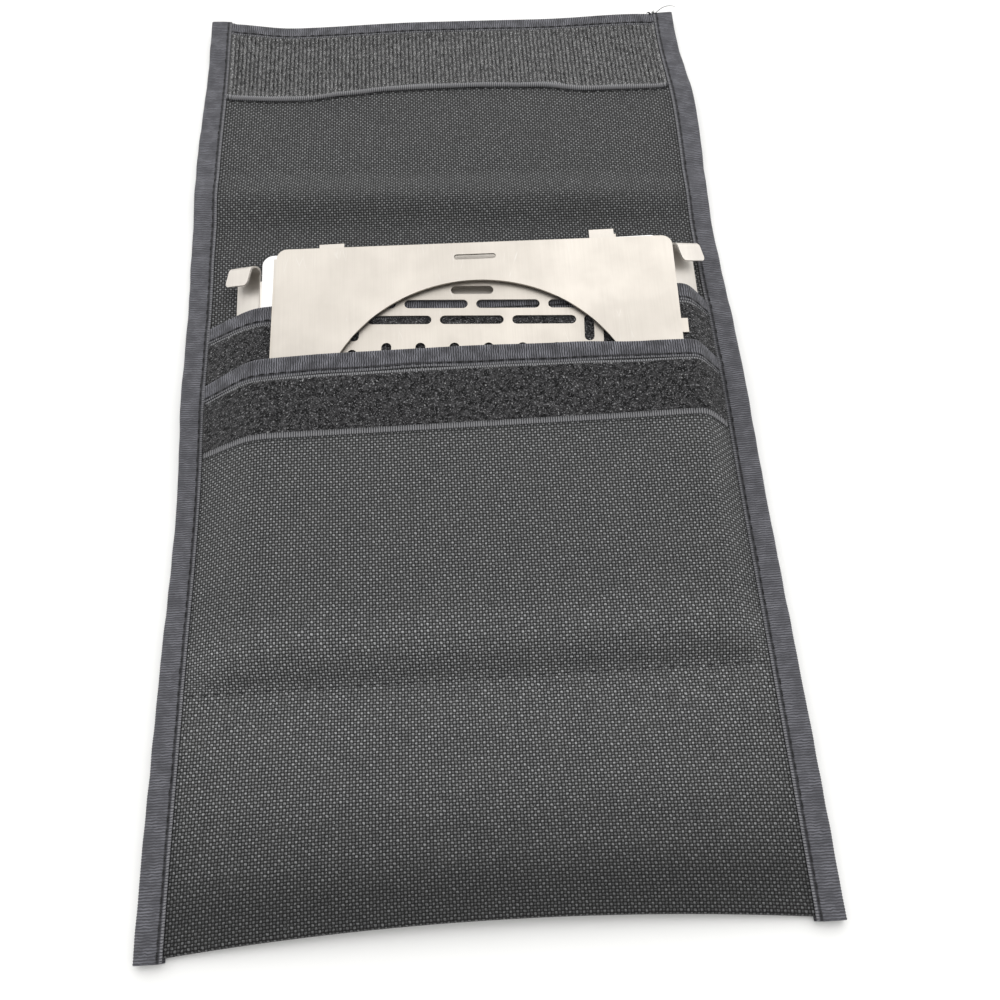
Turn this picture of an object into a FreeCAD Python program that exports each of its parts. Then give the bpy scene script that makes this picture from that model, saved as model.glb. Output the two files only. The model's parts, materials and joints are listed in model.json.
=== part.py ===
"""A flat-pack plate stove stored in its two-pocket fabric pouch, with the flap open.

The pouch lies on its back. X is across it, Y runs from its bottom fold to the end of its flap, Z is up.
The origin is on the floor, in the middle of the whole. Distances called *_y in the sheet are measured along
the pouch from its bottom fold. The stove's plates lie in the pockets as a stack that is tilted a little,
upper end raised. Distances called *_layer are measured up through that stack, square to its plates.
"""
import FreeCAD, Part
import Sketcher
import math
import os

from FreeCAD import Placement, Rotation, Vector

SIZES = {
    # The pouch: cloth, tape and binding
    "pouch_width": 185.0,
    "fold_y": 238.0,
    "flap_end_y": 340.6,
    "flap_skew": 6.8,
    "cloth": 0.6,
    "tape": 0.65,
    "binding_leg": 0.35,
    "binding_gap": 0.05,
    "side_binding": 7.9,
    "end_binding": 8.6,
    "mouth_binding": 6.8,
    "fold_gap": 0.4,
    "joggle": 1.0,
    "cloth_inset": 0.7,
    "step": 0.8,
    "edge_clear": 0.2,
    # Heights of the three cloth layers where the side bindings hold them
    "back_edge": 0.4,
    "divider_edge": 1.1,
    "front_edge": 1.8,
    # The front panel and the divider that form the pockets
    "bottom_inset": 1.2,
    "floor_stitch_y": 69.5,
    "stitch_land": 1.6,
    "front_mouth_y": 172.5,
    "divider_mouth_y": 196.0,
    "front_lift": 3.8,
    "divider_lift": 2.6,
    "lower_puff": 1.6,
    "plateau_left": 66.0,
    "plateau_right": 75.5,
    # The tapes that hold the flap shut
    "loop_tape": 20.0,
    "tape_gap": 0.2,
    "hook_tape": 32.0,
    "hook_tape_inset": 9.0,
    # Stitches
    "stitch_length": 2.6,
    "stitch_pitch": 3.6,
    "stitch_width": 0.45,
    "stitch_height": 0.3,
    "stitch_inset": 1.2,
    "stitch_end": 2.0,
    # The stack of plates. A tab's root is how far its solid reaches into the plate.
    "steel": 0.6,
    "tab_root": 1.0,
    "stack_x": 4.5,
    "stack_y": 83.0,
    "stack_z": 1.5,
    "stack_clear": 2.0,
    "tilt": 4.0,
    "turn": -1.2,
    "hook_wall_layer": 0.0,
    "base_plate_layer": 0.85,
    "side_wall_right_layer": 1.7,
    "side_wall_left_layer": 2.55,
    "divider_layer": 3.75,
    "grate_layer": 5.3,
    "front_wall_layer": 6.15,
    "ring_plate_layer": 7.0,
    "front_layer": 8.25,
    # Ring plate
    "ring_side": 132.0,
    "ring_corner": 3.5,
    "ring_shift": -0.45,
    "ring_hole_radius": 51.4,
    "key_slot": 14.0,
    "key_slot_width": 2.0,
    "key_slot_inset": 4.6,
    "ring_slot_inset": 5.5,
    # Front wall
    "front_wall_width": 133.0,
    "front_wall_height": 121.5,
    "feed_width": 100.0,
    "feed_bottom": 58.0,
    "feed_corner": 12.0,
    "side_tab": 2.3,
    "side_tab_height": 5.2,
    "relief_radius": 0.5,
    "lower_tabs": 24.0,
    "upper_left_tab": 70.0,
    "upper_right_tab": 95.2,
    "front_wall_shift": -0.95,
    # Fire grate
    "grate_width": 85.5,
    "grate_height": 105.0,
    "grate_corner": 2.0,
    "grate_shift": -5.3,
    "grate_rise": 14.4,
    "grate_turn": -3.4,
    "slot_length": 20.8,
    "slot_width": 3.2,
    "slot_pitch": 23.6,
    "short_slot": 14.0,
    "short_slot_offset": 32.0,
    "outer_row": 9.9,
    "inner_row": 15.9,
    "side_slot": 9.6,
    "side_slot_offset": 38.2,
    "side_row": 19.0,
    "upright_slot": 24.0,
    "upright_pitch": 11.0,
    "upright_row": 36.4,
    "outer_drop": 2.5,
    # Side walls
    "side_wall_width": 131.0,
    "side_wall_height": 134.0,
    "left_shift": -0.2,
    "left_rise": -1.2,
    "right_shift": 0.6,
    "right_rise": -2.7,
    "top_tab": 4.8,
    "top_tab_width": 8.4,
    "top_tab_spacing": 91.8,
    "vent_radius": 4.0,
    "vent_pitch": 19.0,
    "vent_height": 16.0,
    "latch_slot": 12.0,
    "latch_slot_width": 2.0,
    "latch_slot_inset": 5.0,
    "latch_slot_height": 92.0,
    # Base plate
    "base_width": 136.0,
    "base_height": 135.4,
    "base_corner": 3.8,
    "base_shift": -1.9,
    # Hook wall
    "hook_wall_width": 139.6,
    "hook_wall_height": 126.0,
    "hook_wall_shift": -1.2,
    "hook_wall_corner": 4.0,
    "arm_fold": 38.0,
    "arm_width": 11.8,
    "arm_bottom": 88.0,
    "arm_top": 128.5,
    "hook_slant": 20.0,
    "hook_gap": 3.4,
    "hook_lip": 5.3,
    "hook_corner": 1.8,
}

document = FreeCAD.newDocument("plate_stove_in_pouch")
sheet = document.addObject("Spreadsheet::Sheet", "sizes")
for row, (alias, value) in enumerate(SIZES.items(), start=1):
    sheet.set(f"A{row}", alias)
    sheet.set(f"B{row}", str(value))
    sheet.setAlias(f"B{row}", alias)
document.recompute()

parts = []


def size(alias):
    """The sheet's value for an alias, in millimetres or degrees."""
    return float(sheet.get(alias))


HALF_WIDTH = size("pouch_width") / 2
CENTRE_Y = (size("flap_end_y") + size("flap_skew") / 2) / 2
BINDING_INNER = HALF_WIDTH - size("side_binding")
TILT = Rotation(Vector(1, 0, 0), size("tilt"))


def keep(thing, label):
    """Names a finished sub-part and puts it on the list of those to write."""
    thing.Label = label
    parts.append(thing)
    return thing


# ---------------------------------------------------------------- the stack's frame


def stack_point(across, along, layer):
    """A point of the tilted stack: from its left-right centre, its lower end and its lowest plate."""
    base = Vector(size("stack_x"), size("stack_y") - CENTRE_Y, size("stack_z"))
    return base + TILT.multVec(Vector(across, along, layer))


def plate_placement(layer, shift, rise=0.0, turn=0.0):
    """Where a plate's own frame goes: origin at the middle of its lower edge, on its underside."""
    spin = Rotation(Vector(0, 0, 1), turn)
    return Placement(stack_point(size(shift), rise, size(layer)), TILT.multiply(spin))


def layer_height(y, layer):
    """The height above the floor of a layer of the stack, above the pouch's line y."""
    along = y - size("stack_y")
    return size("stack_z") + along * math.tan(math.radians(size("tilt"))) + layer


# ---------------------------------------------------------------- sketch helpers


def new_body(name):
    return document.addObject("PartDesign::Body", name)


def new_sketch(body, name):
    """A sketch on a body's own XY plane."""
    sketch = body.newObject("Sketcher::SketchObject", name)
    plane = next(f for f in body.Origin.OriginFeatures if f.Role == "XY_Plane")
    sketch.AttachmentSupport = (plane, [""])
    sketch.MapMode = "FlatFace"
    return sketch


def constrain(sketch, *arguments):
    """Adds one constraint and returns its index."""
    return sketch.addConstraint(Sketcher.Constraint(*arguments))


def drive(sketch, expression, *arguments):
    """Adds a dimension that follows an expression on the sheet's cells."""
    index = constrain(sketch, *arguments)
    sketch.setExpression(f"Constraints[{index}]", expression)


ORIGIN = (-1, 1)
VERTICAL_AXIS = -2
NO_PITCH = (0, "0")
TINY = 1e-6
PAST = 1.0  # how far a cutting shape runs on past what it cuts
VENTS = 5
UPRIGHTS = 6


def rectangle(sketch, width, bottom, top):
    """A rectangle centred on the vertical axis. Each argument is (value, expression)."""
    half = width[0] / 2
    corners = [
        Vector(-half, bottom[0], 0),
        Vector(half, bottom[0], 0),
        Vector(half, top[0], 0),
        Vector(-half, top[0], 0),
    ]
    first = sketch.GeometryCount
    for start, end in zip(corners, corners[1:] + corners[:1]):
        sketch.addGeometry(Part.LineSegment(start, end))
    for side in range(4):
        constrain(sketch, "Coincident", first + side, 2, first + (side + 1) % 4, 1)
    constrain(sketch, "Horizontal", first + 2)
    for side in (1, 3):
        constrain(sketch, "Vertical", first + side)
    constrain(sketch, "Symmetric", first, 1, first, 2, VERTICAL_AXIS)
    drive(sketch, width[1], "DistanceX", first, 1, first, 2, width[0])
    if bottom[0] == 0:
        constrain(sketch, "PointOnObject", first, 1, -1)
    else:
        drive(sketch, bottom[1], "DistanceY", *ORIGIN, first, 1, bottom[0])
    drive(sketch, top[1], "DistanceY", *ORIGIN, first + 2, 2, top[0])


def slot(sketch, centre_x, centre_y, length, width, upright, levelled):
    """A slot with round ends. length and width are (value, expression). Returns its first arc's index.

    levelled slots get no direction of their own, because a symmetry of their two ends gives it.
    """
    radius = width[0] / 2
    reach = (length[0] - width[0]) / 2
    along = Vector(0, reach, 0) if upright else Vector(reach, 0, 0)
    centre = Vector(centre_x, centre_y, 0)
    quarter = math.pi / 2
    start = math.pi if upright else quarter
    first = sketch.GeometryCount
    for sign, angle in ((-1, start), (1, start + math.pi)):
        circle = Part.Circle(centre + along * sign, Vector(0, 0, 1), radius)
        sketch.addGeometry(Part.ArcOfCircle(circle, angle, angle + math.pi))
    ends = [sketch.getPoint(first + arc, point) for arc, point in ((0, 1), (1, 2), (0, 2), (1, 1))]
    sketch.addGeometry(Part.LineSegment(ends[0], ends[1]))
    sketch.addGeometry(Part.LineSegment(ends[2], ends[3]))
    for arc, point, line, end in ((0, 1, 2, 1), (1, 2, 2, 2), (0, 2, 3, 1), (1, 1, 3, 2)):
        constrain(sketch, "Tangent", first + arc, point, first + line, end)
    constrain(sketch, "Equal", first, first + 1)
    if not levelled:
        constrain(sketch, "Vertical" if upright else "Horizontal", first + 2)
    drive(sketch, f"({width[1]}) / 2", "Radius", first, radius)
    direction = "DistanceY" if upright else "DistanceX"
    drive(sketch, f"({length[1]}) - ({width[1]})", direction, first, 3, first + 1, 3, 2 * reach)
    return first


def slot_row(sketch, count, pitch, height, length, width, upright=False):
    """Slots in a row that is centred on the vertical axis. height is that of the slots' first arcs."""
    lower = height[0] + ((length[0] - width[0]) / 2 if upright else 0)
    firsts = []
    for index in range(count):
        x = (index - (count - 1) / 2) * pitch[0]
        firsts.append(slot(sketch, x, lower, length, width, upright, levelled=count == 1))
    for first in firsts[:-1] or firsts:
        drive(sketch, height[1], "DistanceY", *ORIGIN, first, 3, height[0])
    for one, following in zip(firsts, firsts[1:]):
        drive(sketch, pitch[1], "DistanceX", one, 3, following, 3, pitch[0])
    if upright:
        constrain(sketch, "Symmetric", firsts[0], 3, firsts[-1], 3, VERTICAL_AXIS)
    else:
        constrain(sketch, "Symmetric", firsts[0], 3, firsts[-1] + 1, 3, VERTICAL_AXIS)


def circle_row(sketch, count, pitch, height, radius):
    """Round holes in a row that is centred on the vertical axis. Each size is (value, expression)."""
    holes = []
    for index in range(count):
        x = (index - (count - 1) / 2) * pitch[0]
        hole = Part.Circle(Vector(x, height[0], 0), Vector(0, 0, 1), radius[0])
        holes.append(sketch.addGeometry(hole))
        drive(sketch, radius[1], "Radius", holes[-1], radius[0])
    for hole in holes[:-1] or holes:
        drive(sketch, height[1], "DistanceY", *ORIGIN, hole, 3, height[0])
    for one, following in zip(holes, holes[1:]):
        drive(sketch, pitch[1], "DistanceX", one, 3, following, 3, pitch[0])
    if count == 1:
        constrain(sketch, "PointOnObject", holes[0], 3, VERTICAL_AXIS)
    else:
        constrain(sketch, "Symmetric", holes[0], 3, holes[-1], 3, VERTICAL_AXIS)


def pad_steel(body, sketch, name):
    """Makes a plate of the steel's thickness from a sketch."""
    pad = body.newObject("PartDesign::Pad", name)
    pad.Profile = sketch
    pad.setExpression("Length", "sizes.steel")
    document.recompute()
    return pad


def pocket_through(body, sketch, name):
    """Cuts a sketch through the plate and makes sure that it took metal away."""
    before = body.Shape.Volume
    pocket = body.newObject("PartDesign::Pocket", name)
    pocket.Profile = sketch
    pocket.Type = "ThroughAll"
    pocket.Reversed = True
    document.recompute()
    if body.Shape.Volume >= before:
        pocket.Reversed = False
        document.recompute()
    if body.Shape.Volume >= before:
        raise ValueError(f"{name} cuts nothing")
    return pocket


def round_corners(body, base, radius, wanted):
    """Rounds the plate's upright edges that wanted(x, y) picks."""
    names = []
    for index, edge in enumerate(base.Shape.Edges, start=1):
        low, high = (vertex.Point for vertex in (edge.Vertexes[0], edge.Vertexes[-1]))
        upright = abs(low.x - high.x) < TINY and abs(low.y - high.y) < TINY
        if upright and wanted(low.x, low.y):
            names.append(f"Edge{index}")
    fillet = body.newObject("PartDesign::Fillet", f"{body.Name}_corners")
    fillet.Base = (base, names)
    fillet.setExpression("Radius", radius)
    document.recompute()
    return fillet


def cell(alias):
    """The (value, expression) pair of one cell."""
    return size(alias), f"sizes.{alias}"


# ---------------------------------------------------------------- the stove's plates


def ring_top_plate():
    """The pot stand: a square plate with a large round opening and two key slots."""
    body = new_body("ring_top_plate")
    outline = new_sketch(body, "ring_outline")
    side = cell("ring_side")
    rectangle(outline, side, (0, "0"), side)
    middle = (side[0] / 2, "sizes.ring_side / 2")
    circle_row(outline, 1, NO_PITCH, middle, cell("ring_hole_radius"))
    pad_steel(body, outline, "ring_pad")
    inset = cell("ring_slot_inset")
    upper = (side[0] - inset[0], "sizes.ring_side - sizes.ring_slot_inset")
    for name, height in (("lower", inset), ("upper", upper)):
        keys = new_sketch(body, f"ring_key_slot_{name}")
        slot_row(keys, 1, NO_PITCH, height, cell("key_slot"), cell("key_slot_width"))
        pocket = pocket_through(body, keys, f"ring_{name}_slot")
    round_corners(body, pocket, "sizes.ring_corner", lambda x, y: abs(abs(x) - side[0] / 2) < TINY)
    body.Placement = plate_placement("ring_plate_layer", "ring_shift", turn=size("turn"))
    return keep(body, "ring_top_plate")


def front_wall():
    """The front wall: a U round the fuel opening, with locating tabs on its side edges."""
    body = new_body("front_wall_sheet")
    outline = new_sketch(body, "front_wall_outline")
    width = cell("front_wall_width")
    height = cell("front_wall_height")
    rectangle(outline, width, (0, "0"), height)
    pad = pad_steel(body, outline, "front_wall_pad")
    feed = new_sketch(body, "feed_opening")
    above = (height[0] + size("tab_root"), "sizes.front_wall_height + sizes.tab_root")
    rectangle(feed, cell("feed_width"), cell("feed_bottom"), above)
    pocket = pocket_through(body, feed, "feed_cut")
    foot = size("feed_bottom")
    half_feed = size("feed_width") / 2
    rounded = round_corners(
        body,
        pocket,
        "sizes.feed_corner",
        lambda x, y: abs(y - foot) < TINY and abs(abs(x) - half_feed) < TINY,
    )
    tabs = [
        ("right", 1, size("upper_right_tab")),
        ("right", 1, size("lower_tabs")),
        ("left", -1, size("upper_left_tab")),
        ("left", -1, size("lower_tabs")),
    ]
    relief = size("relief_radius")
    pieces = []
    notches = []
    for number, (side, sign, foot_y) in enumerate(tabs, start=1):
        tab = document.addObject("Part::Box", f"{side}_tab_{number}")
        tab.setExpression("Length", "sizes.side_tab + sizes.tab_root")
        tab.setExpression("Width", "sizes.side_tab_height")
        tab.setExpression("Height", "sizes.steel")
        inner = width[0] / 2 - size("tab_root")
        left = inner if sign > 0 else -width[0] / 2 - size("side_tab")
        tab.Placement.Base = Vector(left, foot_y, 0)
        pieces.append(tab)
        notch = document.addObject("Part::Cylinder", f"{side}_relief_{number}")
        notch.setExpression("Radius", "sizes.relief_radius")
        notch.setExpression("Height", "sizes.steel * 3")
        notch.Placement.Base = Vector(sign * width[0] / 2, foot_y - relief / 2, -size("steel"))
        notches.append(notch)
    whole = document.addObject("Part::MultiFuse", "front_wall_with_tabs")
    whole.Shapes = [body] + pieces
    holes = document.addObject("Part::MultiFuse", "front_wall_reliefs")
    holes.Shapes = notches
    cut = document.addObject("Part::Cut", "front_wall_cut")
    cut.Base = whole
    cut.Tool = holes
    cut.Placement = plate_placement("front_wall_layer", "front_wall_shift", turn=size("turn"))
    return keep(cut, "front_wall")


def grate_row(body, name, end, count, pitch, centre, length, upright=False):
    """One row of slots, measured from the lower or the upper end of the grate. Returns its pocket."""
    reach = (length[0] - size("slot_width")) / 2 if upright else 0
    reach_text = f"(({length[1]}) - sizes.slot_width) / 2" if upright else "0"
    if end == "lower":
        height = (centre[0] - reach, f"({centre[1]}) - {reach_text}")
    else:
        height = (
            size("grate_height") - centre[0] - reach,
            f"sizes.grate_height - ({centre[1]}) - {reach_text}",
        )
    sketch = new_sketch(body, f"{end}_{name}_slots")
    slot_row(sketch, count, pitch, height, length, cell("slot_width"), upright)
    return pocket_through(body, sketch, f"{end}_{name}_cut")


def fire_grate():
    """The grate that the fuel burns on: level slots at both ends, upright slots between them."""
    body = new_body("fire_grate")
    outline = new_sketch(body, "grate_outline")
    rectangle(outline, cell("grate_width"), (0, "0"), cell("grate_height"))
    pad_steel(body, outline, "grate_pad")
    pitch = cell("slot_pitch")
    outer_pair = (2 * size("short_slot_offset"), "2 * sizes.short_slot_offset")
    side_pair = (2 * size("side_slot_offset"), "2 * sizes.side_slot_offset")
    upright_pitch = cell("upright_pitch")
    edge_pair = (
        (UPRIGHTS + 1) * size("upright_pitch"),
        f"{UPRIGHTS + 1} * sizes.upright_pitch",
    )
    edge_row = (
        size("upright_row") + size("outer_drop") / 2,
        "sizes.upright_row + sizes.outer_drop / 2",
    )
    edge_slot = (
        size("upright_slot") - size("outer_drop"),
        "sizes.upright_slot - sizes.outer_drop",
    )
    for end in ("lower", "upper"):
        grate_row(body, "key", end, 1, NO_PITCH, cell("key_slot_inset"), cell("key_slot"))
        grate_row(body, "outer", end, 2, pitch, cell("outer_row"), cell("slot_length"))
        grate_row(body, "short", end, 2, outer_pair, cell("outer_row"), cell("short_slot"))
        grate_row(body, "inner", end, 3, pitch, cell("inner_row"), cell("slot_length"))
        grate_row(body, "side", end, 2, side_pair, cell("side_row"), cell("side_slot"), True)
        grate_row(
            body, "upright", end, UPRIGHTS, upright_pitch, cell("upright_row"), cell("upright_slot"), True
        )
        pocket = grate_row(body, "edge_upright", end, 2, edge_pair, edge_row, edge_slot, True)
    half = size("grate_width") / 2
    round_corners(body, pocket, "sizes.grate_corner", lambda x, y: abs(abs(x) - half) < TINY)
    rise = size("grate_rise")
    body.Placement = plate_placement("grate_layer", "grate_shift", rise, size("grate_turn"))
    return keep(body, "fire_grate")


def side_wall(side):
    """A side wall: two tabs on its top edge, latch slots by its upright edges and a row of vents."""
    label = f"side_wall_{side}"
    body = new_body(f"{label}_sheet")
    outline = new_sketch(body, f"{label}_outline")
    height = cell("side_wall_height")
    rectangle(outline, cell("side_wall_width"), (0, "0"), height)
    pad_steel(body, outline, f"{label}_pad")
    vents = new_sketch(body, f"{label}_vents")
    circle_row(vents, VENTS, cell("vent_pitch"), cell("vent_height"), cell("vent_radius"))
    pocket_through(body, vents, f"{label}_vent_cut")
    latches = new_sketch(body, f"{label}_latches")
    apart = (
        size("side_wall_width") - 2 * size("latch_slot_inset"),
        "sizes.side_wall_width - 2 * sizes.latch_slot_inset",
    )
    length = cell("latch_slot")
    width = cell("latch_slot_width")
    slot_row(latches, 2, apart, cell("latch_slot_height"), length, width, upright=True)
    pocket_through(body, latches, f"{label}_latch_cut")
    tabs = []
    for sign in (-1, 1):
        tab = document.addObject("Part::Box", f"{label}_tab")
        tab.setExpression("Length", "sizes.top_tab_width")
        tab.setExpression("Width", "sizes.top_tab + sizes.tab_root")
        tab.setExpression("Height", "sizes.steel")
        left = sign * size("top_tab_spacing") / 2 - size("top_tab_width") / 2
        tab.Placement.Base = Vector(left, height[0] - size("tab_root"), 0)
        tabs.append(tab)
    whole = document.addObject("Part::MultiFuse", f"{label}_with_tabs")
    whole.Shapes = [body] + tabs
    whole.Placement = plate_placement(f"{label}_layer", f"{side}_shift", size(f"{side}_rise"))
    return keep(whole, label)


def base_plate():
    """The ash plate: plain, with rounded corners."""
    body = new_body("base_plate")
    outline = new_sketch(body, "base_outline")
    rectangle(outline, cell("base_width"), (0, "0"), cell("base_height"))
    pad = pad_steel(body, outline, "base_pad")
    round_corners(body, pad, "sizes.base_corner", lambda x, y: True)
    body.Placement = plate_placement("base_plate_layer", "base_shift")
    return keep(body, "base_plate")


def placed_box(name, length, width, height, corner, place):
    """A Part box with driven sides. corner is its low corner in the frame place."""
    box = document.addObject("Part::Box", name)
    box.setExpression("Length", length)
    box.setExpression("Width", width)
    box.setExpression("Height", height)
    box.Placement = place.multiply(Placement(corner, Rotation()))
    return box


def arm_strip(low, rise, place):
    """The flat of an arm. Its top is slanted: the corner at the outer side is higher by rise."""
    high = low + size("arm_width")
    bottom = size("arm_bottom")
    top = size("arm_top")
    tops = (top, top + rise) if low + high > 0 else (top + rise, top)
    corners = [
        Vector(low, bottom, 0),
        Vector(high, bottom, 0),
        Vector(high, tops[1], 0),
        Vector(low, tops[0], 0),
    ]
    strip = Part.Face(Part.makePolygon(corners + corners[:1])).extrude(Vector(0, 0, size("steel")))
    strip.Placement = place
    return strip


def hook_arm(side):
    """The pieces of one arm of the hook wall: folded back along the wall's edge, a J-hook at its top.

    The hook's bend runs across the arm on a slant, so that the two folds together leave its lip level.
    """
    sign = -1 if side == "left" else 1
    steel = size("steel")
    gap = size("hook_gap")
    slant = math.radians(size("hook_slant"))
    low = -steel if sign > 0 else steel - size("arm_width")
    fold = Rotation(Vector(0, 1, 0), sign * size("arm_fold"))
    place = Placement(Vector(sign * size("hook_wall_width") / 2, 0, 0), fold)
    flat = document.addObject("Part::Feature", f"{side}_arm")
    flat.Shape = arm_strip(low, size("arm_width") * math.tan(slant), place)

    start_x = low if sign > 0 else low + size("arm_width")
    slanted = Rotation(Vector(0, 0, 1), sign * size("hook_slant"))
    hook_place = place.multiply(Placement(Vector(start_x, size("arm_top"), 0), slanted))
    left_end = 0.0 if sign > 0 else -size("arm_width") / math.cos(slant)
    lip_low = Vector(left_end, -size("hook_lip"), steel + gap)
    across = "sizes.arm_width / cos(sizes.hook_slant * 1 deg)"
    lip = placed_box(f"{side}_lip", across, "sizes.hook_lip", "sizes.steel", lip_low, hook_place)
    document.recompute()
    rounded = document.addObject("Part::Fillet", f"{side}_lip_rounded")
    rounded.Base = lip
    corners = []
    for index, edge in enumerate(lip.Shape.Edges, start=1):
        ends = [hook_place.inverse().multVec(vertex.Point) for vertex in edge.Vertexes]
        if all(abs(end.y - lip_low.y) < TINY for end in ends) and abs(ends[0].x - ends[1].x) < TINY:
            corners.append((index, size("hook_corner"), size("hook_corner")))
    rounded.Edges = corners
    bend_axis = Placement(Vector(left_end, 0, steel + gap / 2), Rotation(Vector(0, 1, 0), 90))
    rings = []
    for name, extra in (("outer", " + sizes.steel"), ("inner", "")):
        ring = document.addObject("Part::Cylinder", f"{side}_bend_{name}")
        ring.setExpression("Radius", f"sizes.hook_gap / 2{extra}")
        ring.setExpression("Height", across)
        ring.Angle = 180
        ring.Placement = hook_place.multiply(bend_axis)
        rings.append(ring)
    bend = document.addObject("Part::Cut", f"{side}_bend")
    bend.Base, bend.Tool = rings
    return [flat, rounded, bend]


def hook_wall():
    """The rear wall, whose two J-hooks latch the side walls when the stove is put together."""
    body = new_body("hook_wall_sheet")
    outline = new_sketch(body, "hook_wall_outline")
    height = cell("hook_wall_height")
    rectangle(outline, cell("hook_wall_width"), (0, "0"), height)
    pad = pad_steel(body, outline, "hook_wall_pad")
    round_corners(body, pad, "sizes.hook_wall_corner", lambda x, y: y < TINY)
    whole = document.addObject("Part::MultiFuse", "hook_wall_with_arms")
    whole.Shapes = [body] + hook_arm("left") + hook_arm("right")
    whole.Placement = plate_placement("hook_wall_layer", "hook_wall_shift")
    return keep(whole, "hook_wall")


# ---------------------------------------------------------------- the pouch


def drape(y_heights, half_width, edge, thickness):
    """A cloth layer over the stack, as a loft of its cross-sections.

    y_heights lists (y, plateau height, height just inside the side bindings). Outside them, where the
    bindings hold the cloth, it lies at the height edge. half_width says how far it reaches to each side.
    """
    sections = []
    for y, plateau, side in y_heights:
        shoulder = BINDING_INNER - size("edge_clear")
        foot = shoulder - size("step")
        left = -size("plateau_left")
        right = size("plateau_right")
        if half_width > shoulder:
            across = [-half_width, -shoulder, -foot, left, right, foot, shoulder, half_width]
            heights = [edge, edge, side, plateau, plateau, side, edge, edge]
        else:
            across = [-half_width, left, right, half_width]
            heights = [side, plateau, plateau, side]
        lower = [Vector(x, y - CENTRE_Y, z) for x, z in zip(across, heights)]
        upper = [point + Vector(0, 0, thickness) for point in reversed(lower)]
        sections.append(Part.makePolygon(lower + upper + lower[:1]))
    return Part.makeLoft(sections, True, True)


def cloth_feature(label, shape):
    """A sub-part whose shape no feature of the workbenches makes."""
    feature = document.addObject("Part::Feature", label)
    feature.Shape = shape
    return keep(feature, label)


def front_heights(offset=0.0):
    """The front panel's (y, plateau, side) from the bottom fold to the mouth, moved up by offset."""
    edge = size("front_edge") + offset
    stitch = size("floor_stitch_y")
    mouth = size("front_mouth_y")
    layer = size("front_layer") + offset
    start = size("stack_y") - size("stack_clear")
    lift = edge + size("front_lift")
    puffed = edge + size("lower_puff")
    land = size("stitch_land") / 2
    return [
        (size("bottom_inset"), edge, edge),
        (stitch / 2, puffed, edge),
        (stitch - land, edge, edge),
        (stitch + land, edge, edge),
        (start, layer_height(start, layer), lift),
        (mouth - size("cloth_inset"), layer_height(mouth, layer), lift),
    ]


def between(heights, low, high):
    """Cuts a list of (y, plateau, side) to the stretch from low to high, with straight lines between."""

    def at(y):
        for (y0, p0, s0), (y1, p1, s1) in zip(heights, heights[1:]):
            if y0 <= y <= y1 or (y1, p1, s1) == heights[-1]:
                share = (y - y0) / (y1 - y0)
                return (y, p0 + share * (p1 - p0), s0 + share * (s1 - s0))

    return [at(low)] + [row for row in heights if low < row[0] < high] + [at(high)]


def raised(heights, offset):
    return [(y, plateau + offset, side + offset) for y, plateau, side in heights]


def divider_heights():
    """The divider's (y, plateau, side) from the floor stitch to its mouth."""
    edge = size("divider_edge")
    start = size("stack_y") - size("stack_clear")
    mouth = size("divider_mouth_y")
    layer = size("divider_layer")
    lift = edge + size("divider_lift")
    return [
        (size("floor_stitch_y") + 1, edge, edge),
        (start, layer_height(start, layer), lift),
        (mouth - size("cloth_inset"), layer_height(mouth, layer), lift),
    ]


def flat_cloth(low_y, left_y, right_y):
    """A cloth lying on the floor, its edges raised a little inside the side bindings."""
    outer = HALF_WIDTH - size("cloth_inset")
    shoulder = BINDING_INNER - size("edge_clear")
    foot = shoulder - size("step")
    edge = size("back_edge")
    across = [-outer, -shoulder, -foot, foot, shoulder, outer]
    heights = [edge, edge, 0, 0, edge, edge]
    sections = []
    for ends in ((low_y, low_y), (left_y, right_y)):
        slope = (ends[1] - ends[0]) / size("pouch_width")
        rows = [ends[0] + (x + HALF_WIDTH) * slope - CENTRE_Y for x in across]
        lower = [Vector(x, y, z) for x, y, z in zip(across, rows, heights)]
        upper = [point + Vector(0, 0, size("cloth")) for point in reversed(lower)]
        sections.append(Part.makePolygon(lower + upper + lower[:1]))
    return Part.makeLoft(sections, True, True)


def slanted_slab(half_width, left, right, depth, low, high):
    """A slab across the flap. left and right are the y of its near edge at the pouch's two sides."""
    slope = (right - left) / size("pouch_width")
    near = [left + (x + HALF_WIDTH) * slope - CENTRE_Y for x in (-half_width, half_width)]
    points = [
        Vector(-half_width, near[0], low),
        Vector(half_width, near[1], low),
        Vector(half_width, near[1] + depth, low),
        Vector(-half_width, near[0] + depth, low),
    ]
    return Part.Face(Part.makePolygon(points + points[:1])).extrude(Vector(0, 0, high - low))


def c_binding(side, low_y, high_y, height):
    """A tape folded round the pouch's side edge, open towards the middle."""
    leg = size("binding_leg")
    width = size("side_binding")
    length = high_y - low_y
    low = Vector(0, low_y - CENTRE_Y, 0)
    outer = Part.makeBox(width, length, height, low)
    inside = Part.makeBox(width, length + 2 * PAST, height - 2 * leg, low + Vector(-leg, -PAST, leg))
    shape = outer.cut(inside)
    if side == "left":
        shape = shape.mirror(Vector(0, 0, 0), Vector(1, 0, 0))
        shape.translate(Vector(-BINDING_INNER, 0, 0))
    else:
        shape.translate(Vector(BINDING_INNER, 0, 0))
    return shape


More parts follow.
